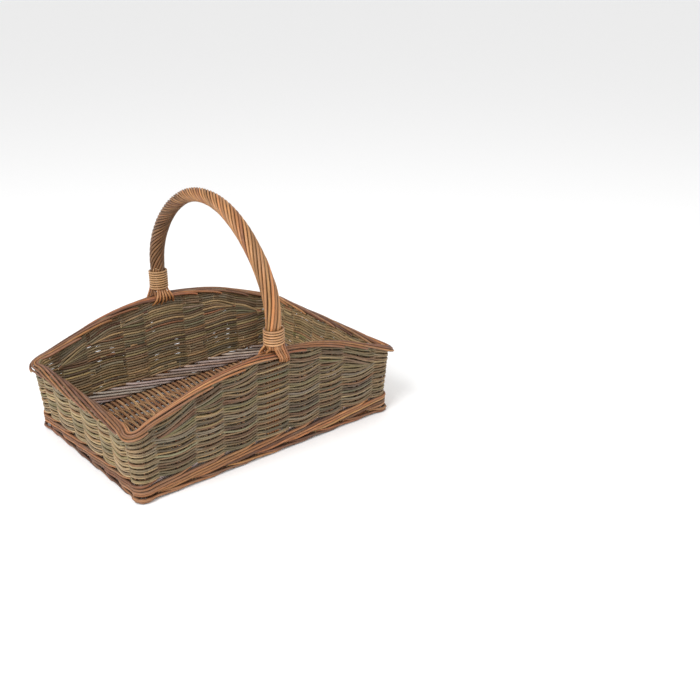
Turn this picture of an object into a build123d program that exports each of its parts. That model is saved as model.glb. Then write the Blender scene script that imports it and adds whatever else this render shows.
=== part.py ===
from build123d import *

import math
import os

# Trug garden basket of willow, with arched long sides and one bow handle across the middle.
# X runs along the length, Y across it, Z up. The origin is on the floor, under the middle.
# The front wall is the long one on the -Y side, the left end is on the -X side.

# Overall sizes, in millimetres, on the middle line of the wall's thickness
base_length = 464.0
base_width = 312.0
rim_flare = 20.0
top_flare = 18.0
corner_height = 119.0
arch_height = 177.5
corner_radius = 14.0
arch_straight_share = 0.36

# The walls lean out by the flare, so the rim follows the base
rim_length = base_length + rim_flare
top_width = base_width + top_flare

# Rods
stake_diameter = 4.8
border_diameter = 4.5
wale_diameter = 4.6
foot_diameter = 4.6
stick_diameter = 6.0
leg_diameter = 4.5
fan_diameter = 3.6
seat_gap = 0.3
rod_gap = 0.25
flat_depth = 0.5

# Walls: woven siding, whose strokes lie outside the stakes and inside them in turn
wall_thickness = 11.0
row_pitch = 4.5
row_depth = 0.8
siding_waist = 6.0
stake_cover = 0.9
wale_rows = 5
foot_rows = 2

# Stakes: how many stand on each side of the middle of a long wall and of an end
side_stakes_each_way = 3
side_stake_edge_share = 0.785
end_stakes_each_way = 3
end_stake_edge_share = 0.52
corner_stake_angles = (16.0, 74.0)
stake_foot_height = 2.0

# Base: a woven mat, whose rows pass over one lengthwise stick and under the next
mat_bottom = 5.0
mat_thickness = 9.5
mat_row_pitch = 9.8
mat_waist = 3.8
mat_edge = 5.2
stick_cover = 0.8
stick_count = 7
stick_edge_margin = 18.0
stick_end_margin = 5.0

# Border: places of the five rods across the wall, outwards and up from its middle line
border_flank_out = 8.6
border_shoulder_out = 5.0
border_flank_drop = 4.6
border_shoulder_drop = 1.0
border_crown_rise = 0.6
border_end_lap = 8.0
handle_slot_clearance = 2.0

# Handle: a bow of two straight legs, shoulders, haunches and a crown, wrapped with rods
handle_top = 395.5
handle_diameter = 26.0
handle_out = 4.1
handle_foot_gap = 7.0
bow_diameter = 12.0
bow_end_diameter = 4.0
neck_diameter = 25.0
neck_spare = 1.2
neck_taper = 5.0
shoulder_rise_share = 0.21
haunch_rise_share = 0.69
haunch_width_share = 0.744
crown_width_share = 0.247
bend_run_share = 0.98

# Rods under the handle's feet
leg_rods_each_way = 2
leg_foot_height = 12.0
outer_fan_rods = 5
outer_fan_pitch = 4.5
outer_fan_first = -6.0
outer_fan_slant = 17.0
inner_fan_rods = 6
inner_fan_pitch = 4.0
inner_fan_spread_share = 1.2
fan_bend_radius = 5.0
fan_run_down = 8.0
fan_seat_out = 3.8

# Bindings round the handle's feet
binding_diameter = 3.6
binding_pitch = 4.15
back_turns = 8
front_turns = 6
back_binding_lift = 0.2
front_binding_lift = 4.4
gap_samples_per_turn = 48

# Cutters run past what they cut by this much
overrun = 20.0


def half_length(height):
    """Half the length of the wall's middle line at a height."""
    return base_length / 2 + rim_flare / 2 * height / corner_height


def half_width(height):
    """Half the width of the wall's middle line at a height."""
    return base_width / 2 + top_flare / 2 * height / arch_height


# Heights of the border's middle line, and the arch between its straight runs
border_crown_top = border_crown_rise + border_diameter / 2
border_corner = corner_height - border_crown_top
border_middle = arch_height - border_crown_top
rim_half = half_length(border_corner)
arch_tangent = rim_half * (1 - arch_straight_share)


def solve_arch_angle():
    """Slope of the border's straight runs, which an arc joins at the middle."""
    rise = border_middle - border_corner
    run = rim_half - arch_tangent
    half_tangent = 0.0
    for _ in range(60):
        bend = 1 - half_tangent**2
        half_tangent = rise * bend / (2 * run + arch_tangent * bend)
    return 2 * math.atan(half_tangent)


arch_angle = solve_arch_angle()
arch_slope = math.tan(arch_angle)
arch_radius = arch_tangent / math.sin(arch_angle)
arch_apex = border_corner + arch_slope * rim_half


def straight_rod(start, end, diameter):
    """A round rod between two points."""
    along = Vector(*end) - Vector(*start)
    return Solid.make_cylinder(diameter / 2, along.length, Plane(origin=start, z_dir=along))


def bent_rod(points, radii, diameter):
    """A round rod along straight runs joined by arcs."""
    path = FilletPolyline(*points, radius=radii).wire()
    section = Plane(origin=path @ 0, z_dir=path % 0) * Circle(diameter / 2)
    return Solid.sweep(section.face(), path)


def wall_point(x, height, side):
    """A point of a long wall's middle line. Side is -1 at the front."""
    return (x, side * half_width(height), height)


def end_point(y, height, side):
    """A point of an end wall's middle line. Side is -1 at the left."""
    return (side * half_length(height), y, height)


def space_under_arch(offset):
    """Everything below the arched line of the border, moved up by an offset."""
    reach = rim_half + wall_thickness + overrun
    low = border_corner + offset - arch_slope * (reach - rim_half)
    shoulder = border_corner + offset + arch_slope * (rim_half - arch_tangent)
    floor = min(low, stake_foot_height) - overrun
    depth = top_width / 2 + wall_thickness + overrun
    outline = [
        Edge.make_line((-reach, 0, floor), (-reach, 0, low)),
        Edge.make_line((-reach, 0, low), (-arch_tangent, 0, shoulder)),
        Edge.make_three_point_arc(
            (-arch_tangent, 0, shoulder), (0, 0, border_middle + offset), (arch_tangent, 0, shoulder)
        ),
        Edge.make_line((arch_tangent, 0, shoulder), (reach, 0, low)),
        Edge.make_line((reach, 0, low), (reach, 0, floor)),
        Edge.make_line((reach, 0, floor), (-reach, 0, floor)),
    ]
    face = Face(Wire(outline)).moved(Location((0, depth, 0)))
    return Solid.extrude(face, Vector(0, -2 * depth, 0))


# The siding ends just under the shoulder rods, the stakes just under the crown rod
lean_share = 1 / math.cos(arch_angle)
siding_top = -border_shoulder_drop - border_diameter / 2 * lean_share - seat_gap
stake_top = border_crown_rise - border_diameter / 2 * lean_share - seat_gap
under_border = space_under_arch(siding_top)
under_crown = space_under_arch(stake_top)

# The handle's feet stand over the border, and their bindings fill the necks
neck_bottom = arch_height + handle_foot_gap
neck_top = neck_bottom + back_turns * binding_pitch + binding_diameter + neck_spare
taper_top = neck_top + neck_taper
handle_half_span = half_width(neck_bottom) + handle_out
crown_height = handle_top - handle_diameter / 2
binding_seat = neck_bottom + seat_gap + binding_diameter / 2

# Heights of the foot rods, the wale rods and the siding, one on top of the other
foot_pitch = foot_diameter + rod_gap
foot_heights = [foot_diameter / 2 - flat_depth + row * foot_pitch for row in range(foot_rows)]
wale_pitch = wale_diameter + rod_gap
wale_start = foot_heights[-1] + (foot_diameter + wale_diameter) / 2 + rod_gap
wale_heights = [wale_start + row * wale_pitch for row in range(wale_rows)]
siding_bottom = wale_heights[-1] + wale_diameter / 2 + rod_gap
ring_out = stake_diameter / 2 + rod_gap + wale_diameter / 2


def ring_rod(height, out, diameter):
    """A rod that goes all the way round the wall, at one height."""
    across = 2 * (half_width(height) + out)
    along = 2 * (half_length(height) + out)
    path = Pos(0, 0, height) * RectangleRounded(along, across, corner_radius + out)
    path = path.face().outer_wire()
    section = Plane(origin=path @ 0, z_dir=path % 0) * Circle(diameter / 2)
    return Solid.sweep(section.face(), path)


def foot_border():
    """Rods round the foot, inside and outside the stakes. The lowest are cut flat to stand."""
    cutter_size = 2 * (rim_length + overrun)
    floor = Pos(0, 0, -cutter_size / 2) * Box(cutter_size, cutter_size, cutter_size)
    rods = []
    for height in foot_heights:
        for out in (ring_out, -ring_out):
            rod = ring_rod(height, out, foot_diameter)
            rods.append(rod - floor if height == foot_heights[0] else rod)
    return rods


def wale(out):
    """The rods of the upset wale on one face of the wall."""
    return [ring_rod(height, out, wale_diameter) for height in wale_heights]


# The handle's own rods stand at the middle of a long wall, in a slot, where it has no stake
leg_step = leg_diameter + rod_gap
leg_places = [step * leg_step for step in range(-leg_rods_each_way, leg_rods_each_way + 1)]
slot_width = leg_places[-1] - leg_places[0] + leg_diameter + 2 * rod_gap
slot_depth = leg_diameter + 2 * rod_gap
side_straight = base_length / 2 - corner_radius
side_stake_pitch = side_straight / (side_stakes_each_way + side_stake_edge_share)
side_steps = range(1, side_stakes_each_way + 1)
side_stake_places = [way * step * side_stake_pitch for step in side_steps for way in (-1, 1)]
end_straight = base_width / 2 - corner_radius
end_stake_pitch = end_straight / (end_stakes_each_way - 0.5 + end_stake_edge_share)
end_steps = range(1, end_stakes_each_way + 1)
end_stake_places = [way * (step - 0.5) * end_stake_pitch for step in end_steps for way in (-1, 1)]


def side_rod(x, side, diameter, low, high):
    """A rod that stands in the middle of a long wall."""
    return straight_rod(wall_point(x, low, side), wall_point(x, high, side), diameter)


def end_rod(y, side, diameter, low, high):
    """A rod that stands in the middle of an end wall."""
    return straight_rod(end_point(y, low, side), end_point(y, high, side), diameter)


def corner_point(angle, height, side_x, side_y):
    """A point of the rounded corner's middle line, at an angle from the end wall."""
    bend = math.radians(angle)
    x = half_length(height) - corner_radius + corner_radius * math.cos(bend)
    y = half_width(height) - corner_radius + corner_radius * math.sin(bend)
    return (side_x * x, side_y * y, height)


def corner_rod(angle, side_x, side_y, diameter, low, high):
    """A rod that stands in a rounded corner."""
    start = corner_point(angle, low, side_x, side_y)
    end = corner_point(angle, high, side_x, side_y)
    return straight_rod(start, end, diameter)


def side_stakes(side):
    """The stakes of a long wall, cut off under the border."""
    rods = [side_rod(x, side, stake_diameter, stake_foot_height, arch_height) for x in side_stake_places]
    return [rod & under_crown for rod in rods]


def end_stakes(side):
    """The stakes of an end wall, cut off under the border."""
    rods = [end_rod(y, side, stake_diameter, stake_foot_height, arch_height) for y in end_stake_places]
    return [rod & under_crown for rod in rods]


corners = [(-1, -1), (1, -1), (1, 1), (-1, 1)]


def corner_stakes():
    """Two stakes in each rounded corner."""
    rods = []
    for side_x, side_y in corners:
        for angle in corner_stake_angles:
            rod = corner_rod(angle, side_x, side_y, stake_diameter, stake_foot_height, arch_height)
            rods.append(rod & under_border)
    return rods


def row_levels(top):
    """Heights of a corner's hollows and ridges in turn, with half the thickness at each."""
    levels = []
    step = 0
    height = siding_bottom
    while height < top + row_pitch:
        depth = wall_thickness / 2 - (row_depth if step % 2 == 0 else 0)
        levels.append((height, depth))
        step += 1
        height = siding_bottom + step * row_pitch / 2
    return levels


def closed_wire(points):
    """A closed wire of straight edges."""
    return Wire.make_polygon([Vector(*point) for point in points], close=True)


def level_oblong(x_low, x_high, y_low, y_high, height):
    """A level rectangle between two places along X and two along Y."""
    return closed_wire(
        [(x_low, y_low, height), (x_high, y_low, height), (x_high, y_high, height), (x_low, y_high, height)]
    )


def woven_line(crossings, reach, bulges, depths):
    """One face of a weave along one row: places along it, with half the thickness at each.

    The row bulges in front of some of the rods that it crosses, passes behind the others and
    has a waist between them.
    """
    full, cover, waist, edge = depths
    line = [(-reach, edge)]
    last_place = -reach
    for (first, last), bulge in zip(crossings, bulges):
        depth = full if bulge else cover
        line.append(((last_place + first) / 2, waist))
        line.append((first, depth))
        if last > first:
            line.append((last, depth))
        last_place = last
    line.append(((last_place + reach) / 2, waist))
    line.append((reach, edge))
    return line


def row_heights(top):
    """Heights of the siding's rows, up past a top."""
    rows = math.ceil((top - siding_bottom) / row_pitch) + 1
    return [siding_bottom + row * row_pitch for row in range(rows + 1)]


stake_bore = stake_diameter + 2 * seat_gap
siding_depths = (wall_thickness / 2, stake_bore / 2 + stake_cover, siding_waist / 2, wall_thickness / 2)
side_crossings = sorted([(x, x) for x in side_stake_places] + [(-slot_width / 2, slot_width / 2)])
end_crossings = sorted((y, y) for y in end_stake_places)


def side_siding(side):
    """The woven siding of a long wall, between its corners and under the arch."""
    sections = []
    for row, height in enumerate(row_heights(border_middle + siding_top)):
        reach = half_length(height) - corner_radius
        middle = half_width(height)
        outside = row % 2 == 0
        outer = woven_line(side_crossings, reach, [outside] * len(side_crossings), siding_depths)
        inner = woven_line(side_crossings, reach, [not outside] * len(side_crossings), siding_depths)
        face = [(x, side * (middle + depth), height) for x, depth in outer]
        face += [(x, side * (middle - depth), height) for x, depth in reversed(inner)]
        sections.append(closed_wire(face))
    panel = Solid.make_loft(sections, ruled=True) & under_border
    for x in side_stake_places:
        panel = panel - side_rod(x, side, stake_bore, siding_bottom - overrun, arch_height + overrun)
    return panel - leg_slot(side)


def end_siding(side):
    """The woven siding of an end wall, between its corners."""
    sections = []
    top = border_corner + siding_top + arch_slope * wall_thickness / 2
    for row, height in enumerate(row_heights(top)):
        reach = half_width(height) - corner_radius
        middle = half_length(height)
        outside = row % 2 == 0
        outer = woven_line(end_crossings, reach, [outside] * len(end_crossings), siding_depths)
        inner = woven_line(end_crossings, reach, [not outside] * len(end_crossings), siding_depths)
        face = [(side * (middle + depth), y, height) for y, depth in outer]
        face += [(side * (middle - depth), y, height) for y, depth in reversed(inner)]
        sections.append(closed_wire(face))
    panel = Solid.make_loft(sections, ruled=True) & under_border
    for y in end_stake_places:
        panel = panel - end_rod(y, side, stake_bore, siding_bottom - overrun, arch_height + overrun)
    return panel


def corner_section(height, depth, side_x, side_y):
    """A quarter ring: the siding of a corner, cut level."""
    centre_x = side_x * (half_length(height) - corner_radius)
    centre_y = side_y * (half_width(height) - corner_radius)

    def place(radius, angle):
        bend = math.radians(angle)
        x = centre_x + side_x * radius * math.cos(bend)
        y = centre_y + side_y * radius * math.sin(bend)
        return (x, y, height)

    inner = corner_radius - depth
    outer = corner_radius + depth
    return Wire(
        [
            Edge.make_three_point_arc(place(outer, 0), place(outer, 45), place(outer, 90)),
            Edge.make_line(place(outer, 90), place(inner, 90)),
            Edge.make_three_point_arc(place(inner, 90), place(inner, 45), place(inner, 0)),
            Edge.make_line(place(inner, 0), place(outer, 0)),
        ]
    )


def corner_siding(side_x, side_y):
    """The woven siding that turns one corner round its two stakes."""
    top = border_corner + siding_top + arch_slope * corner_radius
    sections = [corner_section(height, depth, side_x, side_y) for height, depth in row_levels(top)]
    block = Solid.make_loft(sections, ruled=True) & under_border
    for angle in corner_stake_angles:
        low = siding_bottom - overrun
        block = block - corner_rod(angle, side_x, side_y, stake_bore, low, arch_height + overrun)
    return block


border_places = [
    (-border_flank_out, -border_flank_drop),
    (-border_shoulder_out, -border_shoulder_drop),
    (0.0, border_crown_rise),
    (border_shoulder_out, -border_shoulder_drop),
    (border_flank_out, -border_flank_drop),
]


def border_corner_point(side_x, side_y, out, rise):
    """Where a border rod's end run and its rising run would cross."""
    height = border_corner - arch_slope * out + rise
    x = side_x * (rim_half + out)
    return (x, side_y * (half_width(height) + out), height)


def border_end_start(side_x, side_y, out, rise):
    """Where a border rod of a long side starts on the end wall, before its corner."""
    x, y, height = border_corner_point(side_x, side_y, out, rise)
    return (x, side_y * (half_width(border_corner) - corner_radius - border_end_lap), height)


def side_border(side):
    """The arched border rods of a long side, which turn both corners."""
    rods = []
    break_width = slot_width + 2 * handle_slot_clearance
    gap = Pos(0, side * half_width(border_middle), arch_height) * Box(break_width, overrun, overrun)
    for out, rise in border_places:
        apex = arch_apex + rise
        points = [
            border_end_start(-1, side, out, rise),
            border_corner_point(-1, side, out, rise),
            (0, side * (half_width(apex) + out), apex),
            border_corner_point(1, side, out, rise),
            border_end_start(1, side, out, rise),
        ]
        bend = corner_radius + out
        rod = bent_rod(points, [bend, arch_radius, bend], border_diameter)
        rods.append(rod - gap if out == 0 else rod)
    return rods


def end_border(side):
    """The straight border rods of an end, between the ends of the arched ones."""
    rods = []
    for out, rise in border_places:
        start = border_end_start(side, -1, out, rise)
        end = border_end_start(side, 1, out, rise)
        rods.append(straight_rod(start, end, border_diameter))
    return rods


def base_sticks():
    """The lengthwise sticks of the base."""
    height = mat_bottom + mat_thickness / 2
    reach = half_length(height) - ring_out - wale_diameter / 2 - seat_gap - stick_end_margin
    return [straight_rod((-reach, y, height), (reach, y, height), stick_diameter) for y in stick_places()]


def stick_places():
    """Where the lengthwise sticks lie across the base."""
    edge = base_width / 2 - stick_edge_margin - ring_out
    step = 2 * edge / (stick_count - 1)
    return [-edge + index * step for index in range(stick_count)]


def base_weave():
    """The woven mat of the base, with a channel for each stick."""
    middle = mat_bottom + mat_thickness / 2
    reach_x = half_length(middle) - ring_out - wale_diameter / 2 - seat_gap
    reach_y = half_width(middle) - ring_out - wale_diameter / 2 - seat_gap
    rows = round(2 * reach_x / mat_row_pitch)
    depths = (mat_thickness / 2, stick_diameter / 2 + rod_gap + stick_cover, mat_waist / 2, mat_edge / 2)
    crossings = [(y, y) for y in stick_places()]
    sections = []
    for row in range(rows + 1):
        x = reach_x * (2 * row / rows - 1)
        over = [(number + row) % 2 == 0 for number in range(stick_count)]
        upper = woven_line(crossings, reach_y, over, depths)
        lower = woven_line(crossings, reach_y, [not passes for passes in over], depths)
        face = [(x, y, middle + depth) for y, depth in upper]
        face += [(x, y, middle - depth) for y, depth in reversed(lower)]
        sections.append(closed_wire(face))
    mat = Solid.make_loft(sections, ruled=True)
    inner_radius = corner_radius - ring_out - wale_diameter / 2 - seat_gap
    outline = RectangleRounded(2 * reach_x, 2 * reach_y, inner_radius)
    mat = mat & extrude(outline, mat_bottom + mat_thickness + overrun)
    channel = stick_diameter + 2 * rod_gap
    for y in stick_places():
        far = reach_x + overrun
        mat = mat - straight_rod((-far, y, middle), (far, y, middle), channel)
    return mat


def leg_slot(side):
    """The slot in a long wall's siding that the handle's rods stand in."""
    low = siding_bottom - overrun
    high = arch_height + overrun
    half = slot_width / 2
    sections = []
    for height in (low, high):
        inner = side * (half_width(height) - slot_depth / 2)
        outer = side * (half_width(height) + slot_depth / 2)
        sections.append(level_oblong(-half, half, inner, outer, height))
    return Solid.make_loft(sections, ruled=True)


def leg_rods(side):
    """The handle rods that go straight down into a long wall, beside the bow's own end."""
    top = neck_bottom - seat_gap
    return [side_rod(x, side, leg_diameter, leg_foot_height, top) for x in leg_places if x != 0]


def bow_corners():
    """The corners of the handle's line on one side: shoulder, haunch and crown."""
    rise = crown_height - taper_top
    return [
        Vector(0, handle_half_span, taper_top + shoulder_rise_share * rise),
        Vector(0, haunch_width_share * handle_half_span, taper_top + haunch_rise_share * rise),
        Vector(0, crown_width_share * handle_half_span, crown_height),
    ]


def bow_radii():
    """Radii that leave almost no straight run between the handle's bends."""
    shoulder, haunch, crown = bow_corners()
    lower = haunch - shoulder
    upper = crown - haunch
    shoulder_turn = math.radians(Vector(0, 0, 1).get_angle(lower))
    haunch_turn = math.radians(lower.get_angle(upper))
    crown_turn = math.radians(upper.get_angle(Vector(0, -1, 0)))
    shoulder_run = bend_run_share * (shoulder.Z - taper_top)
    crown_run = bend_run_share * crown.Y
    haunch_run = bend_run_share * min(lower.length - shoulder_run, upper.length - crown_run)
    return [
        shoulder_run / math.tan(shoulder_turn / 2),
        haunch_run / math.tan(haunch_turn / 2),
        crown_run / math.tan(crown_turn / 2),
    ]


def bow_rod(diameter, bottom):
    """A round solid along the handle's line, down to a height on both legs."""
    half_points = [Vector(0, handle_half_span, bottom)] + bow_corners()
    other_points = [Vector(0, -point.Y, point.Z) for point in half_points]
    points = half_points + other_points[::-1]
    radii = bow_radii() + bow_radii()[::-1]
    return bent_rod(points, radii, diameter)


def handle_bow():
    """The bow: a thick rod with both ends cut down to slip into the walls."""
    bow = bow_rod(bow_diameter, neck_bottom)
    for side in (-1, 1):
        bow = bow + side_rod(0, side, bow_end_diameter, leg_foot_height, neck_bottom + bow_end_diameter)
    return bow


def handle_wrap():
    """The rods that wrap the bow, as one sleeve that narrows under the bindings."""
    sleeve = bow_rod(handle_diameter, taper_top)
    for side in (-1, 1):
        foot = Plane(origin=(0, side * handle_half_span, neck_bottom))
        neck = Solid.make_cylinder(neck_diameter / 2, neck_top - neck_bottom, foot)
        shoulder = Plane(origin=(0, side * handle_half_span, neck_top))
        taper = Solid.make_cone(neck_diameter / 2, handle_diameter / 2, neck_taper, shoulder)
        sleeve = sleeve + neck + taper
    return sleeve - bow_rod(bow_diameter + 2 * rod_gap, neck_bottom - overrun)


def biarc(start, start_way, end, end_way):
    """Two arcs that leave one point and reach another in given directions."""
    span = end - start
    ways = start_way + end_way
    square = 2 * (1 - start_way.dot(end_way))
    along = span.dot(ways)
    reach = (-along + math.sqrt(along**2 + square * span.dot(span))) / square
    first = start + start_way * reach
    second = end - end_way * reach
    middle = (first + second) / 2
    middle_way = (second - first).normalized()
    return [
        Edge.make_tangent_arc(start, start_way, middle),
        Edge.make_tangent_arc(middle, middle_way, end),
    ]


def binding(side, turns, bottom):
    """A rod wound round a foot of the handle, in one unbroken run with straight ends."""
    radius = neck_diameter / 2 + seat_gap + binding_diameter / 2
    climb = binding_pitch / (2 * math.pi * radius)

    def place(angle):
        x = radius * math.cos(angle)
        y = side * handle_half_span + radius * math.sin(angle)
        return Vector(x, y, bottom + binding_pitch * angle / (2 * math.pi))

    def way(angle):
        return Vector(-math.sin(angle), math.cos(angle), climb).normalized()

    last = turns * 2 * math.pi
    edges = [Edge.make_line(place(0) - way(0) * binding_diameter, place(0))]
    for half in range(2 * turns):
        here = half * math.pi
        there = here + math.pi
        edges.extend(biarc(place(here), way(here), place(there), way(there)))
    edges.append(Edge.make_line(place(last), place(last) + way(last) * binding_diameter))
    path = Wire(edges)
    section = Plane(origin=path @ 0, z_dir=path % 0) * Circle(binding_diameter / 2)
    rod = Solid.sweep(section.face(), path)
    report_binding(path, turns, rod)
    return rod


def report_binding(path, turns, rod):
    """Print a binding's least gap between its turns and how its volume compares."""
    count = turns * gap_samples_per_turn
    points = [path @ (index / count) for index in range(count + 1)]
    apart = gap_samples_per_turn // 2
    least = min(
        (points[first] - points[second]).length
        for first in range(count + 1)
        for second in range(first + apart, count + 1)
    )
    expected = math.pi * binding_diameter**2 / 4 * path.length
    print("binding turns", turns, "least gap", round(least - binding_diameter, 3))
    print("binding volume share of its section times its length", round(rod.volume / expected, 4))


def fan_rod(side, way, start_x, end_x):
    """A handle rod that bends over the border and ends on the siding, outside or inside."""
    clear = fan_diameter / 2 + seat_gap
    over = half_width(border_middle) + way * (border_flank_out + border_diameter / 2 + clear)
    upper_height = border_middle
    lower_height = border_middle - fan_run_down
    end_height = lower_height - fan_run_down
    rest = half_width(end_height) + way * (wall_thickness / 2 + clear)
    top = neck_bottom - seat_gap - fan_diameter / 2
    start = half_width(neck_bottom) + way * (fan_seat_out + leg_diameter / 2)
    drop = top - end_height

    def slide(height):
        return start_x + (end_x - start_x) * (top - height) / drop

    points = [
        (start_x, side * start, top),
        (slide(upper_height), side * over, upper_height),
        (slide(lower_height), side * over, lower_height),
        (end_x, side * rest, end_height),
    ]
    return bent_rod(points, [fan_bend_radius, fan_bend_radius], fan_diameter)


def outer_fan(side):
    """The slanting handle rods outside a long wall."""
    rods = []
    for index in range(outer_fan_rods):
        x = outer_fan_first + index * outer_fan_pitch
        rods.append(fan_rod(side, 1, -side * x, -side * (x + outer_fan_slant)))
    return rods


def inner_fan(side):
    """The splayed handle rods inside a long wall."""
    rods = []
    for index in range(inner_fan_rods):
        x = (index - (inner_fan_rods - 1) / 2) * inner_fan_pitch
        rods.append(fan_rod(side, -1, x, x * (1 + inner_fan_spread_share)))
    return rods


corner_names = ["front_left", "front_right", "back_right", "back_left"]

pieces = {
    "base_sticks": base_sticks(),
    "base_weave": [base_weave()],
    "foot_border": foot_border(),
    "outer_wale": wale(ring_out),
    "inner_wale": wale(-ring_out),
    "front_stakes": side_stakes(-1),
    "back_stakes": side_stakes(1),
    "left_stakes": end_stakes(-1),
    "right_stakes": end_stakes(1),
    "corner_stakes": corner_stakes(),
    "front_siding": [side_siding(-1)],
    "back_siding": [side_siding(1)],
    "left_siding": [end_siding(-1)],
    "right_siding": [end_siding(1)],
    "front_border": side_border(-1),
    "back_border": side_border(1),
    "left_border": end_border(-1),
    "right_border": end_border(1),
    "handle_bow": [handle_bow()],
    "handle_wrap": [handle_wrap()],
    "front_binding": [binding(-1, front_turns, binding_seat + front_binding_lift)],
    "back_binding": [binding(1, back_turns, binding_seat + back_binding_lift)],
    "front_leg_rods": leg_rods(-1),
    "back_leg_rods": leg_rods(1),
    "front_outer_fan": outer_fan(-1),
    "front_inner_fan": inner_fan(-1),
    "back_outer_fan": outer_fan(1),
    "back_inner_fan": inner_fan(1),
}
for corner_name, (corner_x, corner_y) in zip(corner_names, corners):
    pieces[corner_name + "_siding"] = [corner_siding(corner_x, corner_y)]

os.makedirs("parts", exist_ok=True)
for name, bodies in pieces.items():
    solids = [solid for body in bodies for solid in body.solids()]
    shape = Compound(children=solids) if len(solids) > 1 else solids[0]
    export_step(shape, "parts/" + name + ".step")
    print(name, len(solids))
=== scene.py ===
"""A willow trug garden basket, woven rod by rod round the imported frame."""

import functools
import logging
import math
from dataclasses import dataclass, field, replace
from enum import Enum
from typing import Callable, Optional, Sequence

import bmesh
import bpy
import numpy as np
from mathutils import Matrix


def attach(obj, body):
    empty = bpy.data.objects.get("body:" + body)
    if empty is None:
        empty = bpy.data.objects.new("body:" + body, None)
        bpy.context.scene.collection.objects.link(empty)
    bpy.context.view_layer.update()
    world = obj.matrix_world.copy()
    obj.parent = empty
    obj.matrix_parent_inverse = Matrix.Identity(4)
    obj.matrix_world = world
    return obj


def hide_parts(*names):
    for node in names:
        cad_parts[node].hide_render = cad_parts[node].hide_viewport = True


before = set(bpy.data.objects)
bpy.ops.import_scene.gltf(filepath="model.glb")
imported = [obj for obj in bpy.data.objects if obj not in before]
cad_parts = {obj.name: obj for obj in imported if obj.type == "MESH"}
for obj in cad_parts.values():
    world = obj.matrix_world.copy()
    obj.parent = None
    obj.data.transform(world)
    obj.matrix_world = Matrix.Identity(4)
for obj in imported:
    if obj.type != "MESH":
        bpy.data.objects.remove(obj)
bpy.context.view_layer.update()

log = logging.getLogger("trug_basket")

MM = 0.001
FULL_TURN = 2 * math.pi
CUT_DEPTH = 0.3
LARGEST_CUT_SHARE = 0.5
GRAIN_SHIFT = 9.0
# Painted shade: rods laid with a direction across them are darkened on their flanks, where neighbouring rods
# would shade them.
CREVICE_SHADE = 0.68
CREVICE_POWER = 2.5
FILLET_STEPS = 24
FAR_PANELS = (2, 3, 4, 5)
SIDES = ("front", "back", "left", "right")
UPWARDS = np.array([0.0, 0.0, 1.0])
BOTH_CUT = {"cut_first": True, "cut_last": True}


class Panel(Enum):
    """The eight parts of the wall, in order round the basket from its front left."""

    FRONT = "front"
    FRONT_RIGHT = "front_right"
    RIGHT = "right"
    BACK_RIGHT = "back_right"
    BACK = "back"
    BACK_LEFT = "back_left"
    LEFT = "left"
    FRONT_LEFT = "front_left"


class Side(Enum):
    """A long side of the basket, with the sign of its Y."""

    FRONT = -1
    BACK = 1


def smooth(value: np.ndarray, low: float, high: float) -> np.ndarray:
    """Ease from 0 at low to 1 at high."""
    share = np.clip((np.asarray(value, float) - low) / (high - low), 0, 1)
    return share * share * (3 - 2 * share)


def wander(rng: np.random.Generator, along: np.ndarray, wave: float, depth: float) -> np.ndarray:
    """Give a soft random offset at each place along a rod.

    Args:
        rng: Source of the random draws.
        along: Distances along the rod, in millimetres.
        wave: Distance between two control places, in millimetres.
        depth: Largest offset, in millimetres.

    Returns:
        One offset for each distance.
    """
    places = (along - along[0]) / wave
    knots = rng.uniform(-depth, depth, int(places[-1]) + 3)
    index = places.astype(int)
    share = places - index
    share = share * share * (3 - 2 * share)
    return knots[index] * (1 - share) + knots[index + 1] * share


def unit(rows: np.ndarray) -> np.ndarray:
    """Scale each row to length 1."""
    return rows / np.maximum(np.linalg.norm(rows, axis=1, keepdims=True), 1e-9)


def lengths_along(line: np.ndarray) -> np.ndarray:
    """Give the distance along a line at each of its points."""
    return np.concatenate([[0], np.cumsum(np.linalg.norm(np.diff(line, axis=0), axis=1))])


def ring_gap(run: np.ndarray, middle: np.ndarray, total: float) -> np.ndarray:
    """Give the distance from a place on a ring, the short way round."""
    return np.abs((run - middle + total / 2) % total - total / 2)


def filleted(corners: Sequence[Sequence[float]], radii: Sequence[float], step: float) -> np.ndarray:
    """Sample a line of straight runs whose inner corners are rounded.

    Args:
        corners: The line's corners.
        radii: The radius at each inner corner.
        step: Distance between two samples.

    Returns:
        Points along the line, evenly spaced.
    """
    points = [np.asarray(corner, float) for corner in corners]
    dense = [points[0]]
    for before, corner, after, radius in zip(points, points[1:], points[2:], radii):
        way_in = (corner - before) / np.linalg.norm(corner - before)
        way_out = (after - corner) / np.linalg.norm(after - corner)
        turn = math.acos(float(np.clip(way_in @ way_out, -1, 1)))
        reach = radius * math.tan(turn / 2)
        inward = way_out - way_in
        inward = inward / np.linalg.norm(inward)
        middle = corner + inward * radius / math.cos(turn / 2)
        start = corner - way_in * reach - middle
        for share in np.linspace(0, 1, FILLET_STEPS):
            angle = turn * share
            dense.append(middle + start * math.cos(angle) + way_in * radius * math.sin(angle))
    dense.append(points[-1])
    return evened(np.array(dense), step)


def evened(line: np.ndarray, step: float) -> np.ndarray:
    """Space a line's points evenly, about one step apart."""
    along = lengths_along(line)
    places = np.linspace(0, along[-1], max(3, int(along[-1] / step) + 1))
    return np.stack([np.interp(places, along, line[:, axis]) for axis in range(3)], axis=1)


def relaxed(line: np.ndarray, rounds: int) -> np.ndarray:
    """Round off a line's kinks, with both ends kept."""
    eased = line.copy()
    for _ in range(rounds):
        eased[1:-1] = eased[1:-1] / 2 + (eased[:-2] + eased[2:]) / 4
    return eased


def linear_light(screen: Sequence[int]) -> np.ndarray:
    """Turn a screen colour, whose channels go up to 255, to linear light."""
    share = np.array(screen, float) / 255
    return np.where(share <= 0.04045, share / 12.92, ((share + 0.055) / 1.055) ** 2.4)


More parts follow.
